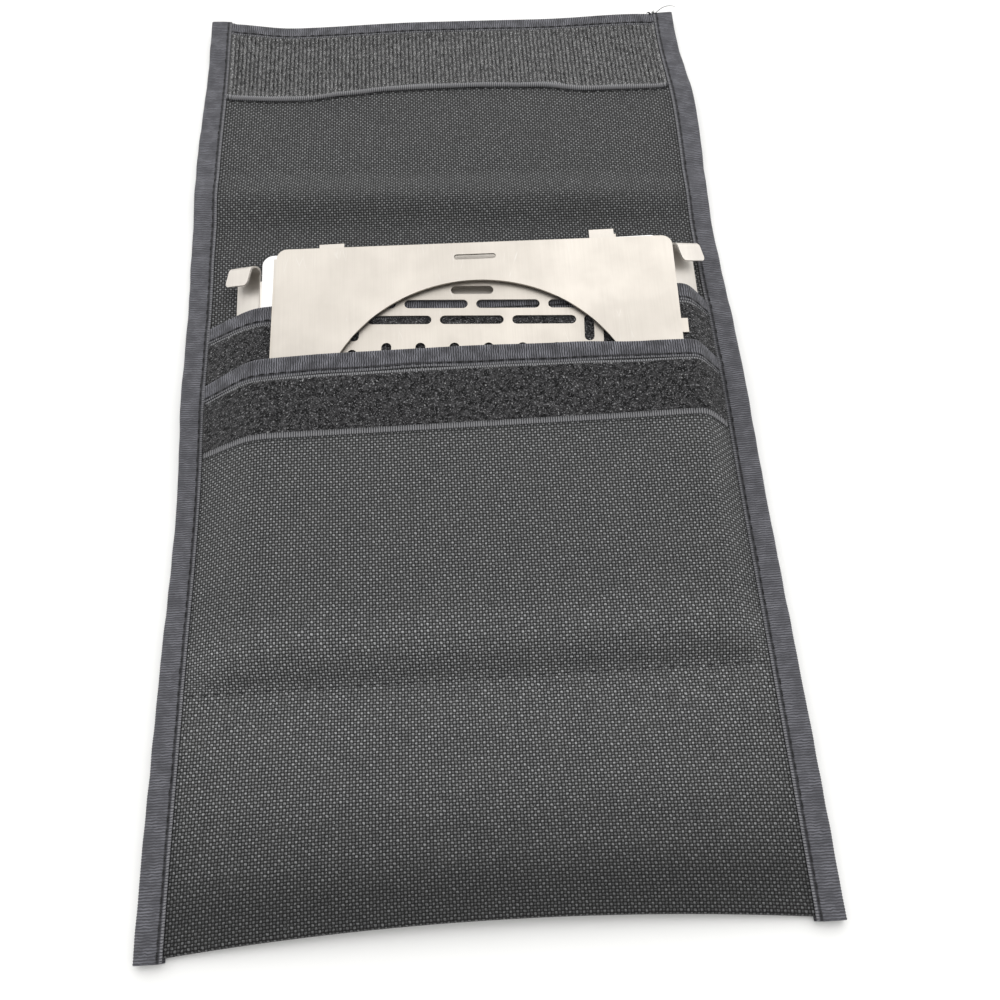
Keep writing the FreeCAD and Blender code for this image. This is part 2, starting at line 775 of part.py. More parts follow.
def mouth_binding(heights, mouth_y):
    """A tape folded over a pocket's mouth."""
    leg = size("binding_leg")
    gap = size("binding_gap")
    cloth = size("cloth")
    reach = BINDING_INNER - size("edge_clear") - size("step")
    low_y = mouth_y - size("mouth_binding")
    outside = raised(between(heights, low_y, mouth_y), -gap - leg)
    inside = raised(between(heights, low_y - PAST, mouth_y - size("cloth_inset") + gap), -gap)
    outer = drape(outside, reach, 0, cloth + 2 * (gap + leg))
    hollow = drape(inside, reach + PAST, 0, cloth + 2 * gap)
    return outer.cut(hollow)


def loop_tape(heights, mouth_y):
    """The soft tape on a pocket's outside, just below the binding of its mouth."""
    reach = BINDING_INNER - size("edge_clear") - size("step")
    high_y = mouth_y - size("mouth_binding") - size("tape_gap")
    stretch = between(heights, high_y - size("loop_tape"), high_y)
    return drape(raised(stretch, size("cloth") + size("binding_gap")), reach, 0, size("tape"))


def stitch_line(start, end):
    """A straight row of stitches from start to end, as a group of small solids."""
    run = end - start
    count = int(run.Length // size("stitch_pitch"))
    turn = math.degrees(math.atan2(run.y, run.x))
    stitches = []
    for index in range(count):
        centre = start + run * ((index + 0.5) / count)
        box = Part.makeBox(size("stitch_length"), size("stitch_width"), size("stitch_height"))
        box.translate(Vector(-size("stitch_length") / 2, -size("stitch_width") / 2, 0))
        box.rotate(Vector(), Vector(0, 0, 1), turn)
        box.translate(centre)
        stitches.append(box)
    return Part.makeCompound(stitches)


def make_pouch():
    """The pouch's cloth, bindings, tapes and stitches. The flap's own are made apart."""
    fold = size("fold_y")
    gap = size("fold_gap") / 2
    cloth_feature("back_panel", flat_cloth(size("bottom_inset"), fold - gap, fold - gap))
    outer = HALF_WIDTH - size("cloth_inset")
    edge = size("front_edge")
    front = drape(front_heights(), outer, edge, size("cloth"))
    cloth_feature("front_panel", front)
    cloth_feature("divider_panel", drape(divider_heights(), outer, size("divider_edge"), size("cloth")))
    pouch_height = edge + size("cloth") + 2 * size("binding_gap") + size("binding_leg")
    for side in ("left", "right"):
        cloth_feature(f"side_binding_{side}", c_binding(side, 0, fold - gap, pouch_height))
    front_mouth = size("front_mouth_y")
    divider_mouth = size("divider_mouth_y")
    cloth_feature("front_mouth_binding", mouth_binding(front_heights(), front_mouth))
    cloth_feature("divider_mouth_binding", mouth_binding(divider_heights(), divider_mouth))
    cloth_feature("front_loop_tape", loop_tape(front_heights(), front_mouth))
    cloth_feature("divider_loop_tape", loop_tape(divider_heights(), divider_mouth))
    top = edge + size("cloth") + size("binding_gap")
    reach = BINDING_INNER - size("edge_clear") - size("step")
    stitch_y = size("floor_stitch_y") - CENTRE_Y
    floor_row = stitch_line(Vector(-reach, stitch_y, top), Vector(reach, stitch_y, top))
    cloth_feature("pocket_floor_stitching", floor_row)
    for side, sign in (("left", -1), ("right", 1)):
        x = sign * (BINDING_INNER + size("stitch_inset"))
        height = pouch_height + size("binding_gap")
        start = Vector(x, size("stitch_end") - CENTRE_Y, height)
        end = Vector(x, fold - size("stitch_end") - CENTRE_Y, height)
        cloth_feature(f"side_stitching_{side}", stitch_line(start, end))


def flap_slab(half_width, inset, depth, low, high):
    """A slab across the flap, its far edge inset from the flap's end by inset less depth."""
    skew = size("flap_skew") / 2
    end = size("flap_end_y")
    return slanted_slab(half_width, end + skew - inset, end - skew - inset, depth, low, high)


def flap_cloth(foot, height):
    """The flap's cloth: flat on the floor, with a joggle up into the binding of its end."""
    fold = size("fold_y") + size("fold_gap") / 2
    skew = size("flap_skew") / 2
    edge = size("back_edge")
    binding = size("end_binding")
    main_end = size("flap_end_y") - binding - size("joggle") / 2
    main = flat_cloth(fold, main_end + skew, main_end - skew)
    inset = binding + size("joggle") * 3 / 2
    joggle = flap_slab(foot, inset, size("joggle"), 0.0, height)
    strip = flap_slab(foot, inset, binding + size("cloth_inset"), edge, height)
    return main.fuse([strip, joggle]).removeSplitter()


def hook_tape_rows(foot, height):
    """The two rows of stitches that hold the hook tape, just inside its long edges."""
    skew = size("flap_skew") / 2
    near = size("hook_tape_inset") + size("stitch_inset")
    far = size("hook_tape_inset") + size("hook_tape") - size("stitch_inset")
    rows = []
    for inset in (near, far):
        points = []
        for x in (-foot + size("stitch_end"), foot - size("stitch_end")):
            y = size("flap_end_y") - x / HALF_WIDTH * skew - inset
            points.append(Vector(x, y - CENTRE_Y, height))
        rows.append(stitch_line(*points))
    return Part.makeCompound(rows)


def make_flap():
    """The flap: its cloth, its bindings, the hook tape and the stitches that hold them."""
    fold = size("fold_y")
    gap = size("fold_gap") / 2
    skew = size("flap_skew") / 2
    leg = size("binding_leg")
    clear = size("binding_gap")
    end_binding = size("end_binding")
    foot = BINDING_INNER - size("edge_clear") - size("step")
    cloth_top = size("back_edge") + size("cloth")
    cloth_feature("flap_panel", flap_cloth(foot, cloth_top))
    height = cloth_top + 2 * clear + leg
    block = flap_slab(foot, end_binding, end_binding, 0, height)
    hollow = flap_slab(foot + 1, end_binding + 1, end_binding + 1 - leg - clear, leg, height - leg)
    cloth_feature("flap_end_binding", block.cut(hollow))
    tape_low = cloth_top + clear
    tape_top = tape_low + size("tape")
    far_side = size("hook_tape_inset") + size("hook_tape")
    gap_beside = size("tape_gap")
    depth = size("hook_tape") - gap_beside
    hook = flap_slab(foot - gap_beside, far_side, depth, tape_low, tape_top)
    cloth_feature("hook_tape", hook)
    cloth_feature("hook_tape_stitching", hook_tape_rows(foot, tape_top + clear))
    for side, sign in (("left", -1), ("right", 1)):
        end_y = size("flap_end_y") - sign * skew
        cloth_feature(f"flap_binding_{side}", c_binding(side, fold + gap, end_y, height))
        x = sign * (BINDING_INNER + size("stitch_inset"))
        start = Vector(x, fold + size("stitch_end") - CENTRE_Y, height + clear)
        end = Vector(x, end_y - size("stitch_end") - CENTRE_Y, height + clear)
        cloth_feature(f"flap_stitching_{side}", stitch_line(start, end))


# ---------------------------------------------------------------- make, check and write


make_pouch()
make_flap()
ring_top_plate()
front_wall()
fire_grate()
side_wall("left")
side_wall("right")
base_plate()
hook_wall()
document.recompute()

for thing in document.Objects:
    if "Invalid" in thing.State or "Error" in thing.State:
        raise ValueError(f"{thing.Label} failed: {thing.State}")
for part in parts:
    if part.Shape.isNull() or not part.Shape.isValid():
        raise ValueError(f"{part.Label} has no valid shape")

os.makedirs("parts", exist_ok=True)
for part in parts:
    part.Shape.exportStep(f"parts/{part.Label}.step")
    print(part.Label, len(part.Shape.Solids), round(part.Shape.Volume, 1))
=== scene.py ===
"""The looks of a flat-pack plate stove that is stored in its two-pocket fabric pouch, with the flap open.

The soft pieces are made in the pouch's own coordinates, in millimetres: x across it, v along it from its
bottom fold to the end of its flap, z up from the floor. settle() gives them all the same small sags and
waves, and in_frame() puts them in the frame, in metres. The plates are the CAD's own.
"""

import json
import math

import bmesh
import bpy
import numpy as np
from mathutils import Matrix, Vector


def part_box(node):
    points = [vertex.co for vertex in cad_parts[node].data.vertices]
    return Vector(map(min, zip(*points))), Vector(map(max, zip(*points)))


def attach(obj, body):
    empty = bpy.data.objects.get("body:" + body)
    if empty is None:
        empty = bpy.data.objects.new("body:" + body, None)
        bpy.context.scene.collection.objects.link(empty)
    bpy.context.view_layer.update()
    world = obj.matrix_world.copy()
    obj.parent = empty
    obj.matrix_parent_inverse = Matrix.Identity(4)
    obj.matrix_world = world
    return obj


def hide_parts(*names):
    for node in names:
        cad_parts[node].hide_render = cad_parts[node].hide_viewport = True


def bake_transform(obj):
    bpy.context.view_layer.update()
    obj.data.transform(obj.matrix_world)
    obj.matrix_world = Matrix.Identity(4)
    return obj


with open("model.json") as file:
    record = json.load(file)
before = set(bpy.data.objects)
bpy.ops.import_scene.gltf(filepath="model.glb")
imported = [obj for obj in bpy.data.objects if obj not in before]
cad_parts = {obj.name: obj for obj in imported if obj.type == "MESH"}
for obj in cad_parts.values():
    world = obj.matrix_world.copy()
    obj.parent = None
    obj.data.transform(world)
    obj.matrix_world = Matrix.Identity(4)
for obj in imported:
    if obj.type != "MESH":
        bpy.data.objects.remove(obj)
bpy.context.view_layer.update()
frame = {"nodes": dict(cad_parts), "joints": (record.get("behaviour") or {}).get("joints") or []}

MM = 0.001

# ---------------------------------------------------------------- sizes that the frame gives


def node_box(name):
    """A node's lowest and highest corners in the pouch's coordinates, in millimetres."""
    low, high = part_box(name)
    bottom = Vector((0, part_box("side_binding_left")[0].y, 0))
    return (low - bottom) / MM, (high - bottom) / MM


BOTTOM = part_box("side_binding_left")[0].y
HALF = node_box("side_binding_right")[1].x
INNER = node_box("side_binding_right")[0].x
TAPE_WIDTH = HALF - INNER
FOLD_V = node_box("back_panel")[1].y
FRONT_MOUTH = node_box("front_mouth_binding")[1].y
DIVIDER_MOUTH = node_box("divider_mouth_binding")[1].y
MOUTH_BINDING = FRONT_MOUTH - node_box("front_mouth_binding")[0].y
STITCH_V = sum(corner.y for corner in node_box("pocket_floor_stitching")) / 2
STACK_V = node_box("front_wall")[0].y
FLAP_LEFT = node_box("flap_binding_left")[1].y
FLAP_RIGHT = node_box("flap_binding_right")[1].y
FLAP_SLOPE = (FLAP_RIGHT - FLAP_LEFT) / (2 * HALF)
SLIDE = next(joint for joint in frame["joints"] if joint["type"] == "slide")["axis"]
STACK_SLOPE = SLIDE[2] / SLIDE[1]

# ---------------------------------------------------------------- sizes of the cloth itself

CLOTH = 0.6
LEG = 0.35
BACK_EDGE = 0.7
DIVIDER_EDGE = 1.4
FRONT_EDGE = 2.1
CLOTH_INSET = 0.7
YARN = 0.90
RIB = 0.75
FRONT_SHOULDERS = (-66.0, 75.5)
DIVIDER_SHOULDERS = (-67.0, 76.0)
LIFT_OVER_PLATES = 0.92
END_TAPE = 6.4
FOLDED_GAP = 0.1
FOLDED_TAPE = CLOTH + 2 * LEG + FOLDED_GAP
LOOP_TAPE = 20.0
SELVEDGE = 1.7
HOOK_ROW = 1.55
HOOK_PITCH = 1.45
HOOKS_KEPT = 0.8
HOOK_CLEAR = 3.4
LOOP_RADIUS = 0.045
HOOK_RADIUS = 0.09
SIDE_NOSE = 0.9
ACROSS_NOSE = 0.8
STITCH_INSET = 1.2
THREAD_RADIUS = 0.17


def stack_top(node, v):
    """The height of a plate's upper face above the pouch's line v."""
    high = node_box(node)[1]
    return high.z - (high.y - v) * STACK_SLOPE


def flap_end(x, inset):
    """v of a line across the flap at a distance in from its end."""
    return FLAP_LEFT + (x + HALF) * FLAP_SLOPE - inset


# ---------------------------------------------------------------- curves


def smooth_step(low, high, value):
    """0 below low and 1 above high, with a smooth rise between them. high may be the smaller of the two."""
    share = np.clip((value - low) / (high - low), 0, 1)
    return share * share * (3 - 2 * share)


def soft_min(one, other, blend):
    """The smaller of two, rounded over a distance of about blend."""
    return -blend * np.logaddexp(-one / blend, -other / blend)


def through(knots, value):
    """A smooth curve through a few (place, offset) knots, level at each of them."""
    value = np.asarray(value, float)
    result = np.full(value.shape, float(knots[0][1]))
    for (low, before), (high, after) in zip(knots, knots[1:]):
        result += (after - before) * smooth_step(low, high, value)
    return result


# ---------------------------------------------------------------- how the pouch lies

# (v, offset) knots: how far each side edge strays sideways and how high it stands off the floor
LEFT_WAVE = [(0, 0.2), (15, 0.2), (70, 0.9), (131, 1.7), (180, 0.4), (240, -1.0), (275, -1.6), (340, -0.4)]
RIGHT_WAVE = [(0, 0.5), (119, 0.2), (185, -0.1), (230, -0.5), (288, 1.3), (330, -0.9)]
LEFT_LIFT = [(0, 0.2), (60, 1.2), (110, 0.5), (172, 2.6), (225, 1.0), (262, 2.2), (310, 0.8), (345, 2.6)]
RIGHT_LIFT = [(0, 0.1), (50, 1.0), (120, 0.7), (172, 2.8), (228, 0.6), (285, 2.4), (320, 0.7), (338, 1.8)]
# Painted light: how much the cloth's colour is brightened or darkened, standing in for how brightly each part
# is lit, at distances along it from the front mouth
PAINTED_LIGHT_ALONG = [
    (0, 1.6), (80, 1.6), (95, 2.1), (106, 1.9), (132, 1.6), (150, 1.2),
    (164, 0.75), (200, 1.0), (360, 1.35), (420, 1.15), (450, 1.25), (500, 1.3),
]
# (x, offset) knots: along the pouch and up at the flap's end, along it at the front mouth, and how far the
# hook tape's lower edge runs nearer to the flap's end than a straight one would
FLAP_DIP = [(-92, 0.2), (-62, -2.3), (-6, -0.5), (35, -0.3), (67, 0.3), (92, 0.0)]
FLAP_LIFT = [(-92, 2.2), (-58, 0.1), (10, 0.5), (50, 0.1), (92, 1.2)]
MOUTH_BOW = [(-90, 0), (-66, 1.2), (-40, 2.0), (0, 2.0), (35, 1.2), (60, -0.2), (78, -0.8), (90, 0)]
HOOK_EDGE_RISE = [(-84, 1.1), (-56, 1.9), (-40, 3.6), (-23, 4.6), (7, 4.6), (35, 3.8), (54, 1.2), (84, 0.8)]


def settle(points):
    """The small sags and waves that all of the pouch's soft pieces share. points is (..., 3)."""
    x, v, z = points[..., 0], points[..., 1], points[..., 2]
    side = np.abs(x) / HALF
    at_edge = np.clip(side, 0, 1.05) ** 5
    # The side edges wander and stand a little off the floor
    left = smooth_step(20, -20, x)
    wave = left * through(LEFT_WAVE, v) + (1 - left) * through(RIGHT_WAVE, v)
    lift = left * through(LEFT_LIFT, v) + (1 - left) * through(RIGHT_LIFT, v)
    # The bottom fold is drawn in and raised in its middle
    centre = np.clip(1 - (x / 87) ** 2, 0, 1)
    near_fold = np.clip(1 - v / 70, 0, 1) ** 2
    bow = 4.4 * centre * near_fold
    raised = 2.2 * np.clip(1 - (x / 82) ** 2, 0, 1) * np.exp(-(np.clip(v, 0, None) / 20) ** 2)
    # The front pocket's mouth bows along the pouch
    mouth = np.exp(-((v - FRONT_MOUTH) / 11) ** 2)
    # The flap's end is uneven and curls up
    near_end = smooth_step(FLAP_RIGHT - 75, FLAP_RIGHT - 25, v)
    dip = through(FLAP_DIP, x) * near_end
    curl = through(FLAP_LIFT, x) * smooth_step(FLAP_RIGHT - 45, FLAP_RIGHT, v) * (1 - at_edge)
    # The crease where the flap folds has a ridge beyond it and a low swelling before it
    beyond = v - (FOLD_V - 3 + x * FLAP_SLOPE * 1.6)
    ridge = 3.2 * smooth_step(0, 14, beyond) * (1 - smooth_step(14, 28, beyond))
    before = 1.0 * np.exp(-((beyond + 14) / 7) ** 2)
    crease = (ridge + before) * np.clip(1.05 - side ** 5, 0.25, 1)
    moved = np.empty_like(points)
    moved[..., 0] = x + wave * at_edge
    moved[..., 1] = v + bow + dip + through(MOUTH_BOW, x) * mouth
    moved[..., 2] = z + lift * at_edge + raised + curl + crease
    return moved


def in_frame(points):
    """From the pouch's coordinates in millimetres to the frame's in metres."""
    moved = settle(np.asarray(points, float)) * MM
    moved[..., 1] += BOTTOM
    return moved


# ---------------------------------------------------------------- the cloth's surfaces (its middle layer)


def stretched(x, v, plateau, edge, shoulders, toe_v):
    """Cloth stretched over the plates: a level top that slopes to the bindings and to the stitched toe."""
    rise = plateau - edge
    left = edge + rise * (x + INNER) / (INNER + shoulders[0])
    right = edge + rise * (INNER - x) / (INNER - shoulders[1])
    toe = edge + rise * (v - STITCH_V - 1) / (toe_v - STITCH_V - 1)
    sides = soft_min(left, right, 1.6)
    height = soft_min(soft_min(plateau, sides, 1.6), toe, 2.4)
    return np.maximum(height, edge)


def front_surface(x, v):
    """The front panel: puffed below the stitch line, stretched over the plates above it."""
    x, v = np.broadcast_arrays(np.asarray(x, float), np.asarray(v, float))
    plateau = stack_top("ring_top_plate", v) + LIFT_OVER_PLATES
    upper = stretched(x, v, plateau, FRONT_EDGE, FRONT_SHOULDERS, STACK_V - 3)
    share = np.clip(v / STITCH_V, 0, 1)
    across = np.clip(1 - (x / INNER) ** 4, 0, 1)
    lower = FRONT_EDGE + 4.6 * np.sin(math.pi * share ** 0.75) * across
    painted_seam_shadow = 1.1 * np.clip(1 - (x / INNER) ** 6, 0, 1) * np.exp(-((v - STITCH_V) / 16) ** 2)
    return np.where(v > STITCH_V, upper, lower) + painted_seam_shadow


def divider_surface(x, v):
    """The divider between the two pockets."""
    x, v = np.broadcast_arrays(np.asarray(x, float), np.asarray(v, float))
    plateau = stack_top("side_wall_left", v) + LIFT_OVER_PLATES
    return stretched(x, v, plateau, DIVIDER_EDGE, DIVIDER_SHOULDERS, STACK_V - 3)


def back_surface(x, v):
    """The back panel and the flap: flat but for low ripples, and raised on the end tape's lower leg."""
    x, v = np.broadcast_arrays(np.asarray(x, float), np.asarray(v, float))
    flat = CLOTH / 2 + (BACK_EDGE - CLOTH / 2) * smooth_step(INNER - 2, INNER - 0.5, np.abs(x))
    across = np.clip(1 - (x / INNER) ** 8, 0, 1)
    ripple = 0.35 * (1 + np.sin(x / 19 + 0.6) * np.cos(v / 23)) * smooth_step(FOLD_V, FOLD_V + 30, v)
    end = flap_end(x, 0)
    on_tape = (LEG + FOLDED_GAP) * smooth_step(end - END_TAPE - 3, end - END_TAPE, v)
    return flat + (ripple + on_tape) * across


def over(surface, x, v, height):
    """Points at a height above a surface, measured square to it."""
    x, v, height = np.broadcast_arrays(*(np.asarray(a, float) for a in (x, v, height)))
    gap = 0.05
    slope_x = (surface(x + gap, v) - surface(x - gap, v)) / (2 * gap)
    slope_v = (surface(x, v + gap) - surface(x, v - gap)) / (2 * gap)
    length = np.sqrt(slope_x ** 2 + slope_v ** 2 + 1)
    z = surface(x, v)
    return np.stack(
        [x - slope_x / length * height, v - slope_v / length * height, z + height / length], axis=-1
    )


# ---------------------------------------------------------------- mesh builders


def new_piece(name, points, faces, cloth_place, material):
    """A smooth-shaded mesh object from frame points, with the cloth's own coordinates as an attribute."""
    mesh = bpy.data.meshes.new(name)
    mesh.from_pydata([], [], [])
    mesh.vertices.add(len(points))
    mesh.vertices.foreach_set("co", np.asarray(points, np.float32).ravel())
    loops = np.concatenate([np.asarray(face, np.int32) for face in faces]) if faces else np.array([])
    counts = np.array([len(face) for face in faces], np.int32)
    mesh.loops.add(len(loops))
    mesh.loops.foreach_set("vertex_index", loops)
    mesh.polygons.add(len(counts))
    mesh.polygons.foreach_set("loop_start", np.concatenate([[0], np.cumsum(counts)[:-1]]).astype(np.int32))
    mesh.polygons.foreach_set("loop_total", counts)
    mesh.update(calc_edges=True)
    mesh.validate()
    mesh.polygons.foreach_set("use_smooth", np.ones(len(mesh.polygons), bool))
    attribute = mesh.attributes.new("cloth_place", "FLOAT_VECTOR", "POINT")
    attribute.data.foreach_set("vector", np.asarray(cloth_place, np.float32).ravel())
    mesh.materials.append(material)
    piece = bpy.data.objects.new(name, mesh)
    bpy.context.scene.collection.objects.link(piece)
    return piece


def grid_quads(rows, columns, offset=0, wrap=False, flip=False):
    """The quads of a grid of points in row order. wrap joins the last column to the first."""
    across = np.arange(columns if wrap else columns - 1)
    along = np.arange(rows - 1)
    i, j = np.meshgrid(along, across, indexing="ij")
    following = (j + 1) % columns
    quads = np.stack(
        [i * columns + j, i * columns + following, (i + 1) * columns + following, (i + 1) * columns + j],
        axis=-1,
    ).reshape(-1, 4)
    if flip:
        quads = quads[:, ::-1]
    return list(quads + offset)


def grid_normals(points):
    """Unit normals of a grid of points, up where its rows run towards +v."""
    along_columns = np.gradient(points, axis=1)
    along_rows = np.gradient(points, axis=0)
    normals = np.cross(along_columns, along_rows)
    return normals / np.linalg.norm(normals, axis=-1, keepdims=True)


def solid_between(upper, lower):
    """Points and faces of the closed solid between two grids of points of the same size."""
    rows, columns = upper.shape[:2]
    count = rows * columns
    points = np.concatenate([upper.reshape(-1, 3), lower.reshape(-1, 3)])
    faces = grid_quads(rows, columns) + grid_quads(rows, columns, count, flip=True)
    rim = list(range(columns))
    rim += [i * columns + columns - 1 for i in range(1, rows)]
    rim += [(rows - 1) * columns + j for j in range(columns - 2, -1, -1)]
    rim += [i * columns for i in range(rows - 2, 0, -1)]
    for one, following in zip(rim, rim[1:] + rim[:1]):
        faces.append((one, one + count, following + count, following))
    return points, faces


def cloth_sheet(name, middle, place):
    """A closed sheet of cloth about a grid of middle points in the frame."""
    offset = grid_normals(middle) * CLOTH * MM / 2
    points, faces = solid_between(middle + offset, middle - offset)
    places = np.concatenate([place.reshape(-1, 3)] * 2)
    piece = new_piece(name, points, faces, places, CLOTH_LOOK)
    outward(piece)
    return piece


def swept(name, stations, place, material):
    """A closed solid from a (stations, outline, 3) array of frame points."""
    count, outline = stations.shape[:2]
    faces = grid_quads(count, outline, wrap=True)
    faces.append(list(range(outline - 1, -1, -1)))
    faces.append([(count - 1) * outline + j for j in range(outline)])
    piece = new_piece(name, stations.reshape(-1, 3), faces, place.reshape(-1, 3), material)
    outward(piece)
    return piece


def outward(piece):
    """Turns a closed mesh's faces outwards if its volume says that they point in."""
    work = bmesh.new()
    work.from_mesh(piece.data)
    if work.calc_volume(signed=True) < 0:
        bmesh.ops.reverse_faces(work, faces=work.faces)
        work.to_mesh(piece.data)
    work.free()


def tubes(paths, radii, sides):
    """Points and faces of many closed tubes. paths is (tubes, points, 3) and radii is (points,)."""
    count, steps = paths.shape[:2]
    tangent = np.gradient(paths, axis=1)
    tangent /= np.linalg.norm(tangent, axis=-1, keepdims=True) + 1e-12
    reference = np.where(np.abs(tangent[..., 2:3]) < 0.9, [0.0, 0.0, 1.0], [1.0, 0.0, 0.0])
    across = np.cross(tangent, reference)
    across /= np.linalg.norm(across, axis=-1, keepdims=True)
    upward = np.cross(across, tangent)
    angles = np.arange(sides) * 2 * math.pi / sides
    ring = (
        across[:, :, None, :] * np.cos(angles)[None, None, :, None]
        + upward[:, :, None, :] * np.sin(angles)[None, None, :, None]
    )
    points = paths[:, :, None, :] + ring * np.asarray(radii)[None, :, None, None]
    single = grid_quads(steps, sides, wrap=True)
    single.append(np.arange(sides - 1, -1, -1))
    single.append((steps - 1) * sides + np.arange(sides))
    faces = []
    for index in range(count):
        faces += [face + index * steps * sides for face in single]
    return points.reshape(-1, 3), faces


def merged(groups):
    """Joins (points, faces) groups into one."""
    points = []
    faces = []
    count = 0
    for group_points, group_faces in groups:
        faces += [np.asarray(face) + count for face in group_faces]
        points.append(group_points)
        count += len(group_points)
    return np.concatenate(points), faces


# ---------------------------------------------------------------- node helpers


class Nodes:
    """A short way to write a material's node tree."""

    def __init__(self, name):
        self.material = bpy.data.materials.new(name)
        self.material.use_nodes = True
        self.tree = self.material.node_tree
        self.shader = self.tree.nodes["Principled BSDF"]

    def add(self, kind, **settings):
        node = self.tree.nodes.new(kind)
        for key, value in settings.items():
            setattr(node, key, value)
        return node

    def feed(self, socket, value):
        if isinstance(value, bpy.types.NodeSocket):
            self.tree.links.new(value, socket)
        else:
            socket.default_value = value

    def math(self, operation, one, other=0.0, third=0.0):
        node = self.add("ShaderNodeMath", operation=operation)
        for socket, value in zip(node.inputs, (one, other, third)):
            self.feed(socket, value)
        return node.outputs[0]

    def times(self, one, other):
        return self.math("MULTIPLY", one, other)

    def plus(self, one, other):
        return self.math("ADD", one, other)

    def ridges(self, along, pitch):
        """Round ridges from 0 to 1, a pitch apart."""
        return self.math("ABSOLUTE", self.math("SINE", self.times(along, math.pi / pitch)))

    def noise(self, vector, scale, detail=2.0, roughness=0.5):
        node = self.add("ShaderNodeTexNoise")
        self.feed(node.inputs["Vector"], vector)
        node.inputs["Scale"].default_value = scale
        node.inputs["Detail"].default_value = detail
        node.inputs["Roughness"].default_value = roughness
        return node.outputs["Fac"]

    def ramp(self, value, low, high, start=0.0, end=1.0):
        node = self.add("ShaderNodeMapRange", interpolation_type="SMOOTHSTEP")
        for name, entry in (("From Min", low), ("From Max", high), ("To Min", start), ("To Max", end)):
            node.inputs[name].default_value = entry
        self.feed(node.inputs["Value"], value)
        return node.outputs["Result"]

    def mix(self, share, one, other):
        node = self.add("ShaderNodeMix", data_type="RGBA")
        self.feed(node.inputs["Factor"], share)
        for socket, colour in ((node.inputs[6], one), (node.inputs[7], other)):
            self.feed(socket, (*colour, 1.0) if isinstance(colour, tuple) else colour)
        return node.outputs[2]

    def scaled(self, colour, factor):
        node = self.add("ShaderNodeVectorMath", operation="SCALE")
        self.feed(node.inputs[0], colour)
        self.feed(node.inputs["Scale"], factor)
        return node.outputs[0]

    def bump(self, height, strength, distance, normal=None):
        node = self.add("ShaderNodeBump")
        node.inputs["Strength"].default_value = strength
        node.inputs["Distance"].default_value = distance
        self.feed(node.inputs["Height"], height)
        if normal is not None:
            self.feed(node.inputs["Normal"], normal)
        return node.outputs["Normal"]

    def cloth_place(self):
        """The cloth's own coordinates in millimetres: across, along and a third that is free."""
        return self.add("ShaderNodeAttribute", attribute_name="cloth_place").outputs["Vector"]

    def split(self, vector):
        node = self.add("ShaderNodeSeparateXYZ")
        self.feed(node.inputs[0], vector)
        return node.outputs

    def combine(self, *values):
        node = self.add("ShaderNodeCombineXYZ")
        for socket, value in zip(node.inputs, values):
            self.feed(socket, value)
        return node.outputs[0]

    def finish(self, colour, roughness, normal, **constants):
        self.feed(self.shader.inputs["Base Color"], colour)
        self.feed(self.shader.inputs["Roughness"], roughness)
        self.feed(self.shader.inputs["Normal"], normal)
        for name, value in constants.items():
            self.shader.inputs[name.replace("_", " ")].default_value = value
        return self.material


# ---------------------------------------------------------------- materials


def woven_cloth():
    """Coarse black plain weave: one yarn over, one under, with a painted highlight on every raised warp,
    painted shade in the gaps between the yarns and painted light along the cloth.
    """
    n = Nodes("woven_cloth")
    place = n.cloth_place()
    drift = n.noise(place, 0.12, 3.0)
    x, along, painted_light = n.split(place)
    wobble = n.times(n.math("SUBTRACT", n.noise(place, 0.9, 1.0), 0.5), 0.5)
    phase_x = n.times(n.plus(x, wobble), math.pi / YARN)
    phase_v = n.times(n.plus(along, n.times(wobble, 0.7)), math.pi / YARN)
    crossing = n.times(n.math("SINE", phase_x), n.math("SINE", phase_v))
    warp = n.math("POWER", n.math("MAXIMUM", crossing, 0.0), 0.8)
    weft = n.math("POWER", n.math("MAXIMUM", n.times(crossing, -1.0), 0.0), 0.8)
    height = n.plus(warp, n.times(weft, 0.75))
    fibres = n.noise(n.combine(n.times(x, 9.0), n.times(along, 2.2), 0.0), 1.0, 2.0)
    height = n.plus(height, n.times(fibres, 0.25))
    uneven = n.ramp(n.noise(place, 1.3, 2.0), 0.35, 0.7, 0.45, 1.0)
    # painted highlight: the raised warps are painted lighter, in uneven patches
    painted_glint = n.times(n.ramp(warp, 0.1, 0.8), uneven)
    # painted shade: where neither yarn is raised, the gaps between them are painted near black
    dark = n.mix(n.ramp(drift, 0.3, 0.7), (0.0050, 0.0051, 0.0052), (0.0085, 0.0084, 0.0080))
    thread = n.mix(n.ramp(weft, 0.2, 1.0), dark, (0.064, 0.065, 0.066))
    colour = n.mix(painted_glint, thread, (0.190, 0.193, 0.197))
    dust = n.ramp(n.noise(place, 2.6, 0.0), 0.80, 0.86)
    colour = n.mix(n.times(dust, 0.35), colour, (0.34, 0.34, 0.33))
    # painted light: the cloth's colour is scaled by its third coordinate, lighter over the front panel and
    # darkest near the bottom fold
    colour = n.scaled(colour, painted_light)
    roughness = n.ramp(painted_glint, 0.0, 1.0, 0.75, 0.42)
    normal = n.bump(height, 0.9, 0.00022)
    return n.finish(
        colour, roughness, normal, Specular_IOR_Level=0.25, Sheen_Weight=0.04, Sheen_Roughness=0.4
    )


